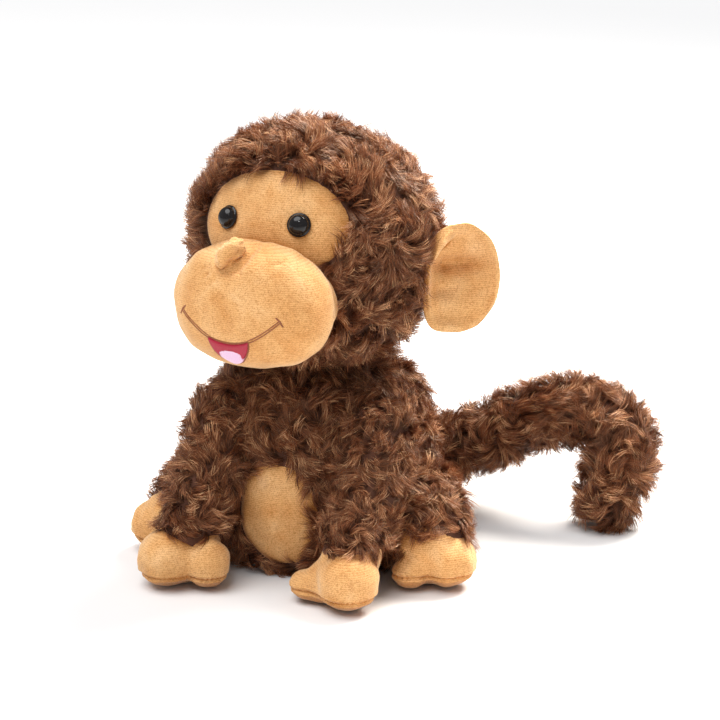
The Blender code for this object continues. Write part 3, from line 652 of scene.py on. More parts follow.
def tangent_axes(normals):
    """Two unit directions along the surface at each normal."""
    helper = np.where(np.abs(normals[:, 2:3]) < 0.85, [[0.0, 0.0, 1.0]], [[0.0, 1.0, 0.0]])
    first = unit(np.cross(helper, normals))
    return first, np.cross(normals, first)


def guide_curves(rng, skin, points, normals, flow, lengths):
    """Curves of the guide strands: each lies in a rosette, lifts off the cloth and curls round its middle."""
    rosette_mm2 = ROSETTE_SPACING**2 * 1e6 * 0.8
    centres, _ = skin.sample(rng, 1 / rosette_mm2)
    owner = nearest(points, centres)
    spin = rng.choice([-1.0, 1.0], len(centres))[owner]
    stand = rng.uniform(0.25, 1.0, len(centres))[owner]
    lean = rng.uniform(0, 2 * math.pi, len(centres))[owner]

    along, across = tangent_axes(normals)
    out = points - centres[owner]
    reach = np.linalg.norm(out, axis=1)
    angle = np.arctan2((out * across).sum(1), (out * along).sum(1))
    angle += spin * (0.75 + rng.normal(0, 0.25, len(points)))
    # the whole rosette also leans one way, with the general flow of the pile
    pull = np.stack([np.cos(angle) + 0.45 * np.cos(lean), np.sin(angle) + 0.45 * np.sin(lean)], 1)
    wanted = flow(points) if flow else np.zeros_like(points)
    pull += np.stack([(wanted * along).sum(1), (wanted * across).sum(1)], 1)
    angle = np.arctan2(pull[:, 1], pull[:, 0])

    steps = 12
    stood = 35 * (wanted * normals).sum(1)
    lift = np.radians(24 + 42 * stand**1.5 + rng.normal(0, 6, len(points)) + stood)
    settle = np.radians(26 + 18 * rng.random(len(points)))
    turn = spin * rng.uniform(0.7, 1.6, len(points)) * np.clip(1.4 - reach / ROSETTE_SPACING, 0.5, 1.4)
    curve = [points]
    for k in range(steps):
        share = (k + 0.5) / steps
        heading = angle + turn * share
        rise_by = lift - settle * share * 1.6
        flat = along * np.cos(heading)[:, None] + across * np.sin(heading)[:, None]
        step = flat * np.cos(rise_by)[:, None] + normals * np.sin(rise_by)[:, None]
        curve.append(curve[-1] + step * (lengths / steps)[:, None])
    return np.stack(curve, 1)


def strand_curves(rng, skin, keep, flow, length):
    """Curves of all strands (strand, level, xyz), with their cloth normals and a tuft's shade for each."""
    guide_points, guide_normals = skin.sample(rng, GUIDES_PER_MM2, keep)
    guide_lengths = length * rng.uniform(0.8, 1.15, len(guide_points))
    guides = guide_curves(rng, skin, guide_points, guide_normals, flow, guide_lengths)
    tuft_shade = rng.normal(0, 1, len(guide_points))

    points, normals = skin.sample(rng, FUR_PER_MM2, keep)
    owner = nearest(points, guide_points)
    size = rng.uniform(0.72, 1.12, len(points))
    gather = rng.uniform(0.05, 0.64, len(points))
    frizz = rng.normal(0, 1, (len(points), 3)) * 0.0014
    last = guides.shape[1] - 1
    out = np.empty((len(points), len(STRAND_LEVELS), 3))
    for k, level in enumerate(STRAND_LEVELS):
        at = np.minimum(level * size, 1.0) * last
        low = np.minimum(at.astype(int), last - 1)
        share = (at - low)[:, None]
        shape = guides[owner, low] * (1 - share) + guides[owner, low + 1] * share - guide_points[owner]
        drawn_in = (guide_points[owner] - points) * (gather * level**1.4)[:, None]
        out[:, k] = points + shape + drawn_in + frizz * level**1.2
    out[..., 2] = np.maximum(out[..., 2], FLOOR_CLEARANCE)
    return out, normals, tuft_shade[owner]


def strand_colours(rng, shares, shade, count):
    """RGBA at each vertex, from roots to tips, with each tuft and strand a little different."""
    t = shares[None, :, None]
    own = rng.random(count)
    warmth = np.clip(0.42 + 0.26 * shade + 0.75 * (own - 0.5), 0.0, 1.0)[:, None, None]
    middle = DARK_COLOUR + (COPPER_COLOUR - DARK_COLOUR) * warmth * 0.55
    golden = np.clip((warmth - 0.62) / 0.38, 0, 1)
    tip = DARK_COLOUR + (COPPER_COLOUR - DARK_COLOUR) * warmth + (GOLD_COLOUR - COPPER_COLOUR) * golden
    low = np.clip(t / 0.40, 0, 1)
    high = np.clip((t - 0.40) / 0.50, 0, 1)
    colour = ROOT_COLOUR + (middle - ROOT_COLOUR) * low
    colour = colour + (tip - middle) * high
    alpha = np.ones(colour.shape[:-1] + (1,))
    return np.concatenate([colour, alpha], -1)


def fur_piece(name, body, curves, normals, shade, rng):
    """One mesh of flat tapered strands, coloured from dark roots to copper tips."""
    count, levels = curves.shape[:2]
    ahead = unit(np.gradient(curves, axis=1))
    facing = normals[:, None] + rng.normal(0, 0.45, (count, 1, 3))
    side = unit(np.cross(ahead, facing))
    outward = unit(np.cross(side, ahead))
    widths = FUR_WIDTH * rng.uniform(0.7, 1.3, count)[:, None] * np.array(STRAND_WIDTHS)
    half = side * (widths / 2)[..., None]

    def along_strand(left, right, tip):
        """Rows for each strand's verts: its left and right edge by turns, then its tip."""
        pairs = np.stack([left[:, :-1], right[:, :-1]], 2).reshape(count, -1, 3)
        return np.concatenate([pairs, tip[:, -1:]], 1)

    verts = along_strand(curves - half, curves + half, curves)
    per = verts.shape[1]
    base = (np.arange(count) * per)[:, None]
    quads = np.concatenate([base + [2 * k, 2 * k + 1, 2 * k + 3, 2 * k + 2] for k in range(levels - 2)])
    tips = base + [per - 3, per - 2, per - 1]
    obj = mesh_of(name, verts.reshape(-1, 3), [quads, tips], "fur_strands")

    # a strand is shaded as a round fibre: its two edges look to the sides
    round_off = side * 0.75
    edge_normals = along_strand(unit(outward - round_off), unit(outward + round_off), outward)
    obj.data.normals_split_custom_set_from_vertices(edge_normals.reshape(-1, 3))

    shares = np.concatenate([np.repeat(STRAND_LEVELS[:-1], 2), [1.0]])
    colours = strand_colours(rng, shares, shade, count)
    layer = obj.data.color_attributes.new("Tint", "FLOAT_COLOR", "POINT")
    layer.data.foreach_set("color", colours.astype(np.float32).reshape(-1))
    return placed(obj, body)


def furry(body, skin, seed, node, keep, flow=None, length=FUR_LENGTH):
    """The backing cloth of a body and its pile, as two pieces."""
    rng = np.random.default_rng(seed)
    verts = skin.verts + skin.normals * BACKING_GROWTH
    verts[:, 2] = np.maximum(verts[:, 2], FLOOR_CLEARANCE)
    cloth = placed(mesh_of(body + "_backing", verts, [skin.quads], "fur_backing"), body)
    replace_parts(cloth, node)
    curves, normals, shade = strand_curves(rng, skin, keep, flow, length)
    fur_piece(body + "_pile", body, curves, normals, shade, rng)


# ---------------------------------------------------------------- the head's frame and outlines


def head_frame():
    turn = Matrix.Rotation(HEAD_TURN, 4, "Z") @ Matrix.Rotation(-HEAD_LOOK_UP, 4, "X")
    return Matrix.Translation(HEAD_CENTRE) @ turn


def on_head(points):
    """Points of the head's frame, in the world."""
    frame = np.array(head_frame())
    return np.asarray(points) @ frame[:3, :3].T + frame[:3, 3]


def in_head_frame(points):
    inverse = np.array(head_frame().inverted())
    return points @ inverse[:3, :3].T + inverse[:3, 3]


def head_width(z, offset=0.0):
    """How wide the head is at heights in its own frame, as a share of its full width."""
    share = np.abs(z) / (HEAD_HALF[2] + offset)
    power = np.where(z > 0, *HEAD_POWERS)
    return np.maximum(1 - share**power, 0.0) ** (1 / power)


def head_front_y(x, z, offset=0.0, least=0.0):
    """The y of the front of the head, in its own frame, at (x, z)."""
    a, b = HEAD_HALF[0] + offset, HEAD_HALF[1] + offset
    return -b * np.sqrt(np.maximum(head_width(z, offset) ** 2 - (x / a) ** 2, least))


def head_skin():
    angles = circle_angles(72)
    rings = []
    for polar in np.linspace(0.02, math.pi - 0.22, 48):
        z = HEAD_HALF[2] * math.cos(polar)
        width = head_width(np.array(z))
        x, y = HEAD_HALF[0] * width * np.cos(angles), HEAD_HALF[1] * width * np.sin(angles)
        rings.append(points_of(x, y, z))
    return Skin(rings[::-1], open_start=True)


def face_reach(angles):
    """How far the face opening reaches from its middle at each angle, in the head's frame."""
    dx, dz = np.cos(angles), np.sin(angles)
    reach = np.zeros_like(angles)
    upper_face = (FACE_CENTRE_Z, FACE_HALF_WIDTH, FACE_HALF_HEIGHT)
    muzzle = (MUZZLE_CENTRE[2], *MUZZLE_SEAM)
    for centre_z, half_width, half_height in (upper_face, muzzle):
        a = (dx / half_width) ** 2 + (dz / half_height) ** 2
        b = 2 * dz * (FACE_MIDDLE_Z - centre_z) / half_height**2
        c = ((FACE_MIDDLE_Z - centre_z) / half_height) ** 2 - 1
        reach = np.maximum(reach, (-b + np.sqrt(b * b - 4 * a * c)) / (2 * a))
    return reach


def past_face(local):
    """How far each point is out from the face's edge, and its way out from the face's middle."""
    dx, dz = local[:, 0] - FACE_X, local[:, 2] - FACE_MIDDLE_Z
    return np.hypot(dx, dz) - face_reach(np.arctan2(dz, dx)), points_of(dx, 0.0, dz)


def ahead_of_ear(local):
    """Distances ahead of the nearer ear's plane, 1 where level with that ear, and its forward direction."""
    side = np.sign(local[:, 0])
    front = points_of(side * math.sin(EAR_SWEEP), -math.cos(EAR_SWEEP), 0.0)
    root = points_of(side * EAR_ROOT[0], EAR_ROOT[1], EAR_ROOT[2])
    ahead = ((local - root) * front).sum(1)
    level = rise(np.abs(local[:, 2] - EAR_ROOT[2]), EAR_HALF_HEIGHT * 1.1, EAR_HALF_HEIGHT * 1.1 - 0.006)
    return ahead, level * (np.abs(local[:, 0]) > 0.045), front


def off_the_face(points):
    """True where the head carries fur: off the face, and clear of each ear and of its fold."""
    local = in_head_frame(points)
    past, _ = past_face(local)
    on_face = (local[:, 1] < 0) & (past < -FACE_OVERLAP)
    ahead, level, _ = ahead_of_ear(local)
    under_ear = (np.abs(ahead - EAR_PLANE) < 0.0048) & (level > 0.5)
    by_fold = (level > 0) & (np.abs(local[:, 2] - EAR_FOLD_Z) < 0.008)
    under_fold = (ahead < 0) & (ahead > -0.019) & by_fold
    return ~on_face & ~under_ear & ~under_fold


def head_flow(points):
    """The pile stands up beside the face, overlaps its edge and leans clear of the ears."""
    local = in_head_frame(points)
    past, out = past_face(local)
    beside = np.where(local[:, 1] < 0.0, rise(past, 0.014, 0), 0.0)[:, None]
    lean = 0.35 * beside - 0.75 * rise(past, 0.004, 0)[:, None] * (beside > 0)
    flow = unit(out) * lean + unit(local) * 0.8 * beside
    ahead, level, front = ahead_of_ear(local)
    near = rise(np.abs(ahead - EAR_PLANE), 0.020, 0) * level
    flow += front * (near * np.sign(ahead - EAR_PLANE))[:, None]
    return flow @ np.array(head_frame())[:3, :3].T


# ---------------------------------------------------------------- making the stuffed forms


def soft_form(name, skins, seam=None):
    """A closed form for stuffing, remeshed from closed skins. seam(points) is 1 on its seam, 0 off it."""
    verts, quads = merged(skins)
    obj = mesh_of(name, verts, [quads], "tan_plush")
    obj.modifiers.new("remesh", "REMESH").voxel_size = SOFT_VOXEL
    smooth = obj.modifiers.new("smooth", "SMOOTH")
    smooth.iterations = 6
    smooth.factor = 0.5
    apply_modifiers(obj)
    if seam is not None:
        group = obj.vertex_groups.new(name="seam")
        weights = seam(read(obj.data))
        for index in np.nonzero(weights > 0.05)[0]:
            group.add([int(index)], float(weights[index]), "REPLACE")
    return obj


def add_cloth(obj):
    """The cloth of a form under the pressure of its stuffing, held at its seam."""
    cloth = obj.modifiers.new("cloth", "CLOTH")
    settings = cloth.settings
    settings.quality = 6
    settings.mass = 0.15
    settings.tension_stiffness = 12
    settings.compression_stiffness = 12
    settings.shear_stiffness = 6
    settings.bending_stiffness = 0.4
    settings.use_pressure = True
    settings.uniform_pressure_force = SOFT_PRESSURE
    settings.effector_weights.gravity = 0
    if "seam" in obj.vertex_groups:
        settings.vertex_group_mass = "seam"
    cloth.collision_settings.use_collision = False


def inflate(forms):
    """Blows the sewn forms up with the pressure of their stuffing, and keeps each point near its start."""
    for obj in forms:
        add_cloth(obj)
    for step in range(1, SOFT_FRAMES + 1):
        bpy.context.scene.frame_set(step)
    graph = bpy.context.evaluated_depsgraph_get()
    swollen = [read(obj.evaluated_get(graph).data) for obj in forms]
    for obj, end in zip(forms, swollen):
        obj.modifiers.clear()
        start = read(obj.data)
        move = end - start
        size = np.linalg.norm(move, axis=1, keepdims=True)
        write_points(obj.data, start + move * np.minimum(1.0, SOFT_CAP / np.maximum(size, 1e-9)))
    bpy.context.scene.frame_set(1)


def refine(obj):
    modifier = obj.modifiers.new("subdivision", "SUBSURF")
    modifier.levels = modifier.render_levels = 1
    apply_modifiers(obj)


def sew_seam(obj, off, way, seed):
    """Pinches a seam into a form, given each point's signed distance off it and its way along it."""
    points = read(obj.data)
    depth = 0.0014
    groove = depth * bell(off, 0, 0.0008)
    shoulder = 0.35 * depth * bell(np.abs(off), 0.0022, 0.0012)
    uneven = 0.7 + 0.5 * wavy(points, 0.011, seed)
    gathers = 0.00042 * np.sin(way * 2 * math.pi / 0.0030 + 1.3 * wavy(points, 0.016, seed + 1)) * uneven
    gathers *= np.exp(-np.abs(off) / 0.0020)
    write_points(obj.data, points + read(obj.data, "normal") * (shoulder - groove + gathers)[:, None])


def soften(obj, size, scale, seed):
    """Slow lumps of the stuffing under the cloth."""
    points = read(obj.data)
    points += read(obj.data, "normal") * (size * wavy(points, scale, seed))[:, None]
    write_points(obj.data, points)


def paw_form(name, paw, place):
    """The lobes of a hand or a foot, a little small, to be swollen by their stuffing."""

    def seam(points):
        return bell(points[:, 2], paw["seam_z"], 0.0012)

    lobes = []
    for x, y, z, radius, height in paw["lobes"]:
        r = radius - PAW_INSET
        lobe = ellipsoid_skin((x, y, z), (r, r, height - PAW_INSET)).moved(place)
        if place.determinant() < 0:
            lobe.flipped()
        lobes.append(lobe)
    return soft_form(name, lobes, seam)


def finish_paw(obj, paw, place, seed):
    """Sews the seam round a paw, lets it sag on the floor and puts it on its limb."""
    refine(obj)
    centre = place @ Vector((*paw["centre"], 0))
    x, y, z = read(obj.data).T
    sew_seam(obj, z - paw["seam_z"], np.arctan2(y - centre.y, x - centre.x) * 0.022, seed)
    soften(obj, 0.0005, 0.016, seed)
    points = read(obj.data)
    points[:, 2] = np.maximum(points[:, 2], FLOOR_CLEARANCE)
    write_points(obj.data, points)
    limb = obj.name.replace("_hand_cloth", "_arm").replace("_foot_cloth", "_leg")
    placed(obj, limb)
    part = obj.name.replace("_cloth", "")
    under = "_palm" if "hand" in part else "_sole"
    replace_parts(obj, part + "_upper", part + under, part + "_stuffing")


def muzzle_skin(inset):
    half = [h - inset for h in MUZZLE_HALF]
    rings = []
    for t in np.linspace(0.06, math.pi - 0.06, 44):
        size = math.sin(t) ** (2 / MUZZLE_POWER)
        depth = math.copysign(abs(math.cos(t)) ** (2 / MUZZLE_POWER), math.cos(t))
        x, z = superellipse(circle_angles(96), half[0] * size, half[2] * size, MUZZLE_ROUNDNESS)
        rings.append(MUZZLE_CENTRE + points_of(x, -half[1] * depth, z))
    return Skin(rings)


def sew_muzzle(muzzle):
    """Gathers the muzzle where it is sewn to the face, and creases it beside its nose and on its cheek."""
    points = read(muzzle.data)
    normals = read(muzzle.data, "normal")
    x, y, z = in_head_frame(points).T
    off = head_front_y(x, z) - y
    gathered = MUZZLE_PINCH * rise(y, MUZZLE_CENTRE[1] - 0.001, MUZZLE_CENTRE[1] + 0.010) ** 1.5
    outward = points_of(x * 0.3, 0.0, z - MUZZLE_CENTRE[2])
    points -= (outward * gathered[:, None]) @ np.array(head_frame())[:3, :3].T
    shoulder = 0.0012 * bell(off, 0.0110, 0.0050)
    past_nose = np.hypot(x - NOSE_X, z - NOSE_CENTRE_Z)
    below = np.clip(0.5 - (z - NOSE_CENTRE_Z) / 0.010 + (x - NOSE_X) / 0.014, 0, 1)
    groove = 0.0012 * bell(np.maximum(off, 0), 0, 0.0020)
    groove += 0.0022 * bell(past_nose, 0.0095, 0.0032) * below * (off > 0)
    turn = np.arctan2(z - MUZZLE_CENTRE[2], x)
    gathers = 0.00035 * np.sin(turn * 62 + 2 * wavy(points, 0.02, 8)) * np.exp(-np.abs(off) / 0.0035)
    for crease in MUZZLE_CREASES:
        groove += crease_depth(np.stack([x, z], 1), *crease) * (off > 0)
    write_points(muzzle.data, points + normals * (shoulder - groove + gathers)[:, None])


def crease_depth(flat, start, end, depth):
    """How deep a crease between two (x, z) points is at each point."""
    line = np.subtract(end, start)
    along = np.clip((flat - start) @ line / (line @ line), 0, 1)
    away = np.linalg.norm(flat - start - along[:, None] * line, axis=1)
    return depth * bell(away, 0, 0.0011) * np.sin(math.pi * np.clip(along, 0.08, 0.92))


def make_soft_parts():
    left, right = Matrix.Identity(4), Matrix.Scale(-1, 4, (1, 0, 0))
    right_foot = Matrix.Translation((RIGHT_LEG_SHIFT, 0, 0)) @ right
    paws = []
    for name, paw, place in (
        ("left_hand", LEFT_HAND, left),
        ("right_hand", RIGHT_HAND, right),
        ("left_foot", FOOT, left),
        ("right_foot", FOOT, right_foot),
    ):
        paws.append((paw_form(name + "_cloth", paw, place), paw, place))
    muzzle = soft_form("muzzle_cloth", [muzzle_skin(0.0014).moved(head_frame())])
    inflate([obj for obj, _, _ in paws] + [muzzle])
    for seed, paw in enumerate(paws):
        finish_paw(*paw, 50 + seed)
    refine(muzzle)
    soften(muzzle, 0.0005, 0.022, 60)
    sew_muzzle(muzzle)
    placed(muzzle, "head")
    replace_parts(muzzle, "muzzle_cover", "muzzle_stuffing")
    return muzzle


# ---------------------------------------------------------------- panels, eyes and nose


def panel(name, ring, shares, lift, body):
    """A closed panel of cloth. ring(share, offset) is its ring at a share of its size, off the form below."""
    outer = [ring(share, lift) for share in shares]
    inner = [ring(share, -0.0010) for share in shares]
    skin = Skin(outer + inner[::-1])
    facing = skin.rings[0].mean(0) - skin.verts.mean(0)
    if skin.normals[: skin.rings.shape[1]].mean(0) @ facing < 0:
        skin.flipped()
    return solid(name, [skin], "tan_plush", body)


def make_face_panel():
    angles = circle_angles(160)
    reach = face_reach(angles) + 0.0022

    def ring(share, offset):
        x = FACE_X + reach * share * np.cos(angles)
        z = FACE_MIDDLE_Z + reach * share * np.sin(angles)
        tuck = 0.0022 * rise(share, 0.86, 1) ** 2
        crown = 0.0010 * (1 - share**2)
        return on_head(points_of(x, head_front_y(x, z, offset, 1e-6) - crown + tuck, z))

    face = panel("face_panel", ring, np.linspace(0.02, 1, 40), 0.0010, "head")
    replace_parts(face, "face_patch")
    dimple_eyes(face)


def make_belly_panel():
    angles = circle_angles(128)
    margin = 0.002
    x0, z0 = superellipse(angles, BELLY_HALF_WIDTH + margin, BELLY_HALF_HEIGHT + margin, BELLY_POWER)
    heights, radii = smooth_through(BODY_PROFILE, 4).T

    def ring(share, offset):
        x, z = x0 * share, BELLY_CENTRE_Z + z0 * share
        r = np.interp(z, heights, radii) + offset
        tuck = 0.0020 * rise(share, 0.82, 1) ** 2
        return points_of(x, -np.sqrt(r * r - x * x) - 0.0012 * (1 - share**2) + tuck, z)

    belly = panel("belly_panel", ring, np.linspace(0.02, 1, 36), 0.0012, "torso")
    soften(belly, 0.0005, 0.02, 5)
    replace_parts(belly, "belly_patch")


def eye_place(side):
    """The frame of an eye: origin on the face, Z out of it."""
    place = Vector((side * EYE_X, float(head_front_y(side * EYE_X, np.array(EYE_Z))), EYE_Z))
    out = Vector([p / half**2 for p, half in zip(place, HEAD_HALF)]).normalized()
    turn = out.to_track_quat("Z", "Y").to_matrix().to_4x4()
    return head_frame() @ Matrix.Translation(place) @ turn


def dimple_eyes(face):
    """The eyes' shanks draw the cloth in round them."""
    points = read(face.data)
    for side in (1, -1):
        place = eye_place(side)
        away = np.linalg.norm(points - np.array(place.translation), axis=1)
        points -= np.array(place.col[2])[:3] * (0.0016 * bell(away, 0, 0.0085))[:, None]
    write_points(face.data, points)


def make_eyes():
    """Domed safety eyes, each with a rim, a fine groove and its dome."""
    rim = [(-0.0120, 0.0020), (0.0006, 0.0020), (0.0010, EYE_RADIUS - 0.0006)]
    rim += [(0.0014, EYE_RADIUS), (0.0019, EYE_RADIUS)]
    groove = [(0.0022, EYE_RADIUS - 0.0006), (0.0023, EYE_RADIUS - 0.0009)]
    dome = [
        (0.0023 + EYE_HEIGHT * math.sin(a), (EYE_RADIUS - 0.0010) * math.cos(a) ** 0.9)
        for a in np.radians(np.linspace(4, 89, 22))
    ]
    for side, name in ((1, "left_eye"), (-1, "right_eye")):
        skin = turned(rim + groove + dome, 64).moved(eye_place(side))
        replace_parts(solid(name + "_dome", [skin], "eye_plastic", "head"), name)


def make_nose():
    """A knob of the muzzle's cloth, gathered and pinched along a slanting fold."""
    nose_y = muzzle_front_y(NOSE_X, NOSE_CENTRE_Z) - NOSE_FORWARD
    cos, sin = math.cos(NOSE_SLANT), math.sin(NOSE_SLANT)
    angles = circle_angles(80)
    rings = []
    for turn in np.radians(np.arange(3, 178, 3.0)):
        size = math.sin(turn)
        x, z = superellipse(angles, NOSE_HALF[0] * size, NOSE_HALF[2] * size, 2.0)
        y = np.full(80, -math.cos(turn) * NOSE_HALF[1])
        # a deep fold under the ridge, and small ones along it
        y += 0.0034 * bell(z, -0.0043, 0.0015) * rise(np.abs(x - 0.002), 0.014, 0) * (y < 0.002)
        swell = 1 + 0.05 * np.sin(angles * 9 + 0.8) * size**2 * (turn > math.pi / 2.8)
        x, z = x * swell, z * swell
        turned_x, turned_z = x * cos - z * sin, x * sin + z * cos
        rings.append(on_head(points_of(NOSE_X + turned_x, y + nose_y, NOSE_CENTRE_Z + turned_z)))
    nose = solid("nose_knob", [Skin(rings)], "tan_plush", "head")
    soften(nose, 0.0007, 0.0065, 77)
    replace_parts(nose, "nose")


def muzzle_front_y(x, z):
    """The y of the front of the muzzle, in the head's frame, at (x, z)."""
    across = abs((x - MUZZLE_CENTRE[0]) / MUZZLE_HALF[0]) ** MUZZLE_ROUNDNESS
    up = abs((z - MUZZLE_CENTRE[2]) / MUZZLE_HALF[2]) ** MUZZLE_ROUNDNESS
    share = (across + up) ** (1 / MUZZLE_ROUNDNESS)
    return MUZZLE_CENTRE[1] - MUZZLE_HALF[1] * max(1 - share**MUZZLE_POWER, 0.0) ** (1 / MUZZLE_POWER)


# ---------------------------------------------------------------- embroidery


def smile_height(x):
    return SMILE_LOW_Z + SMILE_RISE * (abs(x) / SMILE_HALF_WIDTH) ** 1.9


class OnMuzzle:
    """Finds points and normals on the finished muzzle from (x, z) in the head's frame."""

    def __init__(self, muzzle):
        corners = [vertex.co for vertex in muzzle.data.vertices]
        faces = [face.vertices for face in muzzle.data.polygons]
        self.tree = BVHTree.FromPolygons(corners, faces)
        self.frame = head_frame()
        self.ahead = (self.frame.to_3x3() @ Vector((0, 1, 0))).normalized()

    def find(self, x, z):
        start = self.frame @ Vector((x, -0.2, z))
        place, normal, _, _ = self.tree.ray_cast(start, self.ahead)
        return place, normal


def thread_ring(middle, side, up, radius):
    return [middle + side * (radius * math.cos(a)) + up * (radius * math.sin(a)) for a in circle_angles(6)]


def stitch(start, end, normal, thickness):
    """One stitch of thread, from where it leaves the cloth to where it enters it."""
    ahead = (end - start).normalized()
    side = ahead.cross(normal).normalized()
    up = side.cross(ahead)
    rings = []
    for share, size in ((0.0, 0.35), (0.12, 0.8), (0.35, 1.0), (0.65, 1.0), (0.88, 0.8), (1.0, 0.35)):
        lift = thickness * 0.5 * math.sin(math.pi * share) - thickness * 0.1
        rings.append(thread_ring(start.lerp(end, share) + up * lift, side, up, thickness * size / 2))
    return Skin(rings)


def stitched_line(surface, path, width, thickness, slant=0.5):
    """Slanted satin stitches side by side along a path of (x, z) points."""
    path = np.asarray(path, float)
    travelled = distances_along(path)
    skins = []
    for at in np.arange(THREAD_PITCH / 2, travelled[-1], THREAD_PITCH):
        here = point_along(path, travelled, at)
        next_to_it = point_along(path, travelled, at + 0.0005)
        ahead = unit(next_to_it - here + 1e-12)
        across = np.array([-ahead[1], ahead[0]]) + ahead * slant
        ends = [here + across * (width / 2) * k for k in (-1, 1)]
        (p, n), (q, m) = (surface.find(*end) for end in ends)
        if p is not None and q is not None:
            skins.append(stitch(p, q, (n + m) / 2, thickness))
    return skins


def thread_run(surface, start, end, height, thickness=0.00056):
    """One long thread lying over the cloth between two (x, z) points."""
    start, end = np.array(start), np.array(end)
    if np.linalg.norm(end - start) < 0.0006:
        return []

    def place_at(share):
        return surface.find(*(start + (end - start) * share))

    rings = []
    for share in np.linspace(0, 1, 9):
        place, normal = place_at(share)
        ahead = place_at(min(share + 0.02, 1.0))[0] - place_at(max(share - 0.02, 0.0))[0]
        side = ahead.cross(normal).normalized()
        size = 0.35 if share in (0.0, 1.0) else 1.0
        middle = place + normal * (height * 0.5 * min(1.0, 6 * share, 6 * (1 - share)))
        rings.append(thread_ring(middle, side, normal, thickness * size * 0.62))
    return [Skin(rings)]


def make_smile(surface):
    """Two lines of stitches on each side, with a tick across the end."""
    for side, name in ((1, "left"), (-1, "right")):
        xs = np.linspace(MOUTH_HALF_WIDTH, SMILE_HALF_WIDTH, 40) * side
        path = np.stack([MOUTH_X + xs, smile_height(xs)], 1)
        skins = []
        for offset in (-0.00075, 0.00075):
            skins += stitched_line(surface, path + [0.0, offset], 0.0006, 0.00048, slant=1.0)
        tick = [(-0.0022 * side, 0.0024), (0.0002 * side, 0.0003), (0.0016 * side, -0.0026)]
        skins += stitched_line(surface, path[-1] + tick, 0.0010, 0.00050)
        line = solid("smile_" + name, skins, "thread", "head", THREAD_WELD)
        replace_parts(line, "smile_stitching_" + name)


def make_mouth(surface):
    """The open mouth in upright threads, the tongue in level ones, and an outline."""
    top = smile_height(0.0) + 0.0004
    skins = []
    for x in np.arange(THREAD_PITCH / 2 - MOUTH_HALF_WIDTH, MOUTH_HALF_WIDTH, THREAD_PITCH):
        high = top + MOUTH_CORNER_LIFT * (x / MOUTH_HALF_WIDTH) ** 2
        low = high - MOUTH_DROP * half_round(x / MOUTH_HALF_WIDTH)
        skins += thread_run(surface, (MOUTH_X + x, low), (MOUTH_X + x, high), 0.0012)
    mouth = solid("mouth_stitching", skins, "mouth_felt", "head", THREAD_WELD)
    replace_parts(mouth, "mouth_patch")
    tongue_top = top - TONGUE_TOP
    skins = []
    for z in np.arange(tongue_top - TONGUE_DROP + THREAD_PITCH / 2, tongue_top + TONGUE_ARCH, THREAD_PITCH):
        up = z - tongue_top
        reach = TONGUE_HALF_WIDTH * half_round(up / (TONGUE_DROP if up < 0 else TONGUE_ARCH))
        skins += thread_run(surface, (MOUTH_X - reach, z), (MOUTH_X + reach, z), 0.0017)
    tongue = solid("tongue_stitching", skins, "tongue_felt", "head", THREAD_WELD)
    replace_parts(tongue, "tongue_patch")
    angles = np.radians(np.linspace(180, 360, 40))
    low_edge = top + 0.0002 + (MOUTH_DROP + 0.0004) * np.sin(angles) + MOUTH_CORNER_LIFT * np.cos(angles) ** 2
    rim = np.stack([MOUTH_X + MOUTH_HALF_WIDTH * 1.03 * np.cos(angles), low_edge], 1)
    edge = stitched_line(surface, rim, 0.0011, 0.00055)
    shares = np.linspace(-1, 1, 24)
    upper = np.stack([MOUTH_X + MOUTH_HALF_WIDTH * shares, top + 0.0004 + MOUTH_CORNER_LIFT * shares**2], 1)
    edge += stitched_line(surface, upper, 0.0009, 0.00050)
    solid("mouth_outline", edge, "thread", "head", THREAD_WELD)


def half_round(share):
    return math.sqrt(max(1 - share**2, 0.0))


# ---------------------------------------------------------------- ears


def ear_frame(side):
    """Origin in the middle of the ear's root, X outward along the ear, Y to its front, Z up."""
    out = Vector((side * math.cos(EAR_SWEEP), math.sin(EAR_SWEEP), 0.0))
    front = Vector((side * math.sin(EAR_SWEEP), -math.cos(EAR_SWEEP), 0.0))
    turn = Matrix((out, front, (0, 0, 1))).transposed().to_4x4()
    root = Vector((side * EAR_ROOT[0], EAR_ROOT[1], EAR_ROOT[2]))
    return head_frame() @ Matrix.Translation(root) @ turn


def ear_relief(u, v):
    """The height of the ear's front over its flat dish, where its cloth folds at the root."""
    valley = -0.0034 * bell(v, 0.0070, 0.0056) * rise(u, 0.003, 0.015) * rise(u, 0.044, 0.032)
    valley -= 0.0016 * bell(v, -0.0085, 0.0034) * rise(u, 0.003, 0.012) * rise(u, 0.024, 0.012)
    low_swell = 0.0014 * bell(v, -0.0150, 0.0075) * rise(u, 0, 0.010)
    # a flap at the top of the root, folded forward along a slanting crease
    start, way = np.array([0.0015, 0.0085]), unit(np.array([0.0170, 0.0165]))
    off = (u - start[0]) * -way[1] + (v - start[1]) * way[0]
    on = (u - start[0]) * way[0] + (v - start[1]) * way[1]
    flap = 0.0062 / (1 + np.exp(-off / 0.00055)) * bell(off, 0, 0.0095) * rise(on, 0.025, 0.015)
    crease = -0.0012 * bell(off, -0.0007, 0.0009) * rise(on, 0.026, 0.016)
    return 2.1 * valley + 2.2 * low_swell + 1.2 * flap + 2.2 * crease


def ear_outline():
    """(u, v) round the ear: half an ellipse outward, and square-shouldered towards its root."""
    angles = circle_angles(160)
    cos, sin = np.cos(angles), np.sin(angles)
    u = np.maximum(EAR_WIDTH / 2 + EAR_WIDTH / 2 * cos, -0.004)
    fullness = np.where(sin > 0, 2.5, 4.2)
    inner = (1 - np.minimum(np.abs(cos), 0.999) ** fullness) ** (1 / fullness)
    return np.stack([u, EAR_HALF_HEIGHT * np.where(cos < 0, np.sign(sin) * inner, sin)], 1)


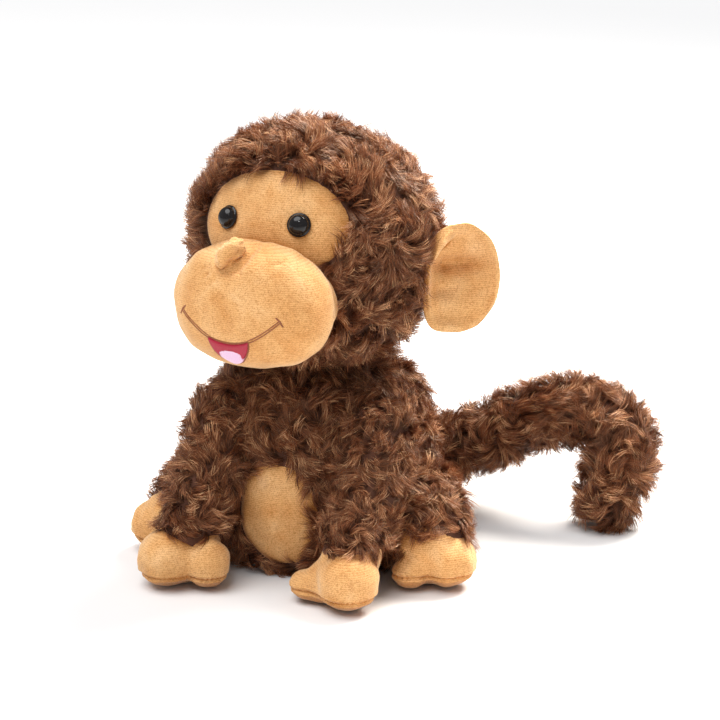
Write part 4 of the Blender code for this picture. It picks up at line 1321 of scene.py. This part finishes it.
def ear_skin():
    outline = ear_outline()
    middle = np.array([EAR_WIDTH * 0.5, 0.0])
    front, back = [], []
    for share in np.sin(np.linspace(0.02, math.pi / 2, 60)):
        u, v = (middle + (outline - middle) * share).T
        dish = -EAR_DISH * (1 - share**2.6)
        half = EAR_EDGE * (1 - share**9) ** 0.5
        relief = ear_relief(u, v) * rise(share, 1, 0.90)
        rim = 0.0012 * bell(share, 0.88, 0.06)
        front.append(points_of(u, dish + half + relief + rim, v))
        # the back cloth gives way where the front one dips
        back.append(points_of(u, dish - half * 0.9 + np.minimum(relief, 0.0), v))
    return Skin(front + back[::-1])


def make_ears():
    for side, name in ((1, "left_ear"), (-1, "right_ear")):
        skin = ear_skin().moved(ear_frame(side))
        if side < 0:
            skin.flipped()
        ear = solid(name + "_cloth", [skin], "tan_plush", name)
        soften(ear, 0.0004, 0.015, 71 + side)
        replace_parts(ear, name + "_front", name + "_back")


# ---------------------------------------------------------------- fur of the body, limbs and tail


def shows_body_pile(points):
    """True where the body carries fur: off its belly panel, its seat and its neck."""
    x, z = points[:, 0], points[:, 2] - BELLY_CENTRE_Z
    share = np.abs(x / BELLY_HALF_WIDTH) ** BELLY_POWER + np.abs(z / BELLY_HALF_HEIGHT) ** BELLY_POWER
    on_belly = (points[:, 1] < 0) & (share < 1)
    return ~on_belly & (points[:, 2] > 0.003) & (points[:, 2] < 0.1236)


def above_cuff(points):
    """The fur sleeve ends at the wrist."""
    return points[:, 2] > np.where(points[:, 0] > 0, CUFF_Z["left"], CUFF_Z["right"])


def off_the_foot(points):
    """The fur of a leg ends where the foot begins."""
    left = points[:, 0] > 0
    x = np.where(left, points[:, 0], RIGHT_LEG_SHIFT - points[:, 0])
    return np.linalg.norm(points_of(x, points[:, 1], points[:, 2]) - FOOT_MIDDLE, axis=1) > FOOT_REACH


def between_head_and_body(points):
    return (points[:, 2] > 0.118) & (points[:, 2] < 0.138)


def limb_skin(route, radii):
    radii = smooth_through([(r,) for r in radii])[:, 0]
    return tube_skin(smooth_through(route), radii)


def make_fur():
    body = turned([*smooth_through(BODY_PROFILE, 4), *BODY_CROWN], 72)
    furry("torso", body, 11, "torso_cover", shows_body_pile)
    furry("head", head_skin().moved(head_frame()), 12, "head_cover", off_the_face, head_flow)
    for seed, (side, route) in enumerate(ARM_ROUTES.items()):
        arm = side + "_arm"
        furry(arm, limb_skin(route, ARM_RADII), 20 + seed, arm + "_cover", above_cuff, length=ARM_PILE)
    right = [(-x + RIGHT_LEG_SHIFT, y, z) for x, y, z in LEG_ROUTE]
    for seed, (side, route) in enumerate((("left", LEG_ROUTE), ("right", right))):
        leg = side + "_leg"
        furry(leg, limb_skin(route, LEG_RADII[side]), 30 + seed, leg + "_cover", off_the_foot)
    neck = ellipsoid_skin(NECK, [NECK_RADIUS] * 3, 0.05)
    furry("neck", neck, 15, "neck_stuffing", between_head_and_body, length=NECK_PILE)


def make_seat():
    """The flat cloth that closes the body below, turned in at its seam."""
    profile = [(0.0003, 0.004), (0.0003, 0.040), (0.0005, SEAT_RADIUS - 0.0015), (0.0012, SEAT_RADIUS)]
    profile += [(0.0022, SEAT_RADIUS - 0.0004), (0.0024, 0.040), (0.0024, 0.004)]
    seat = solid("seat_cloth", [turned(profile, 64)], "fur_backing", "torso")
    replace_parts(seat, "seat_panel")


def make_tail():
    """Four lengths of pile, each on its own backing: the first and last ride one section each, and the two
    between them, which span a joint each, are put on no body.
    """
    line = smooth_through(TAIL_ROUTE, 6)
    travelled = distances_along(line)
    shares = travelled / travelled[-1]
    rng = np.random.default_rng(40)
    whole = tube_skin(line, [TAIL_RADIUS] * len(line), sides=28, end_dome=True)
    curves, normals, shade = strand_curves(rng, whole, None, None, TAIL_LENGTH)
    root_share = shares[nearest(curves[:, 0], line)]
    reach = 1.2 * TAIL_RADIUS / travelled[-1]

    def at(share):
        return point_along(line, shares, share)

    middles = [(a + b) / 2 for a, b in zip(TAIL_CUTS, TAIL_CUTS[1:])]
    cuts = [0.0, *middles, 1.0]
    for k, (low, high, (body, after, node)) in enumerate(zip(cuts, cuts[1:], TAIL_LENGTHS)):
        inside = (shares > low) & (shares < high)
        route = np.vstack([at(low), line[inside], at(high)])
        tube = tube_skin(route, [TAIL_RADIUS] * len(route), sides=28, start_dome=low == 0, end_dome=high == 1)
        rides = None if after else body
        backing = mesh_of(f"tail_backing_{k + 1}", tube.verts, [tube.quads], "fur_backing")
        placed(backing, rides)
        chosen = (root_share >= low) & (root_share < high) if high < 1 else root_share >= low
        tufts = curves[chosen], normals[chosen], shade[chosen]
        pile = fur_piece(f"tail_pile_{k + 1}", rides, *tufts, rng)
        if after:
            joint = TAIL_CUTS[k]
            at(joint - reach)
            at(joint + reach)
            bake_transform(backing)
            at(joint - reach)
            at(joint + reach)
            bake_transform(pile)
        if node:
            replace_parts(backing, node)


# The materials whose names differ from their slots
MADE_OF = {"fur": "fur_backing", "stuffing": "fibre_fill"}


def dress_inner_nodes():
    """What stays inside the covers keeps its frame shape, with the material of what it is."""
    for part in frame["record"]["subparts"]:
        slot = part["material_slot"]
        node = frame["nodes"][part["node"]]
        node.data.materials.clear()
        node.data.materials.append(material(MADE_OF.get(slot, slot)))


# ---------------------------------------------------------------- stage

VIEW_AZIMUTH = math.radians(20)
VIEW_ELEVATION = math.radians(15.5)
VIEW_AIM = Vector((0.034, -0.018, 0.126))
VIEW_DISTANCE = 1.3
FRAME_WIDTH = 0.432


def make_camera():
    out = math.cos(VIEW_ELEVATION)
    back = Vector((math.sin(VIEW_AZIMUTH) * out, -math.cos(VIEW_AZIMUTH) * out, math.sin(VIEW_ELEVATION)))
    data = bpy.data.cameras.new("camera")
    data.lens = data.sensor_width * VIEW_DISTANCE / FRAME_WIDTH
    camera = linked(bpy.data.objects.new("camera", data))
    camera.location = VIEW_AIM + back * VIEW_DISTANCE
    camera.rotation_euler = back.to_track_quat("Z", "Y").to_euler()
    bpy.context.scene.camera = camera


def add_light(name, kind, place, strength, **settings):
    """A lamp at a place, aimed at the middle of the toy."""
    data = bpy.data.lights.new(name, kind)
    data.energy = strength
    for key, value in settings.items():
        setattr(data, key, value)
    light = linked(bpy.data.objects.new(name, data))
    light.location = place
    light.rotation_euler = (Vector(place) - VIEW_AIM).to_track_quat("Z", "Y").to_euler()


def make_stage():
    """A pale floor, white surroundings, a wide soft light above, a small one for the eyes and one behind."""
    world = bpy.data.worlds.new("studio")
    world.use_nodes = True
    background = world.node_tree.nodes["Background"]
    background.inputs["Color"].default_value = (1.0, 1.0, 1.0, 1.0)
    background.inputs["Strength"].default_value = 0.40
    bpy.context.scene.world = world
    bpy.context.scene.view_settings.view_transform = "Standard"
    reach = 12.0
    corners = [(-reach, -reach, 0), (reach, -reach, 0), (reach, reach, 0), (-reach, reach, 0)]
    floor = mesh_of("floor", corners, [np.array([[0, 1, 2, 3]])], "floor", smooth=False)
    add_light("overhead", "SUN", (-0.40, -0.60, 1.9), 2.75, angle=math.radians(50))
    add_light("catch_light", "AREA", (0.20, -1.05, 1.25), 1.8, size=0.05)
    add_light("rim", "AREA", (0.45, 0.80, 1.25), 62.0, size=0.8, color=(1.0, 0.94, 0.86))


make_camera()
make_stage()
dress_inner_nodes()
muzzle_surface = OnMuzzle(make_soft_parts())
make_smile(muzzle_surface)
make_mouth(muzzle_surface)
make_nose()
make_face_panel()
make_eyes()
make_ears()
make_belly_panel()
make_seat()
make_fur()
make_tail()
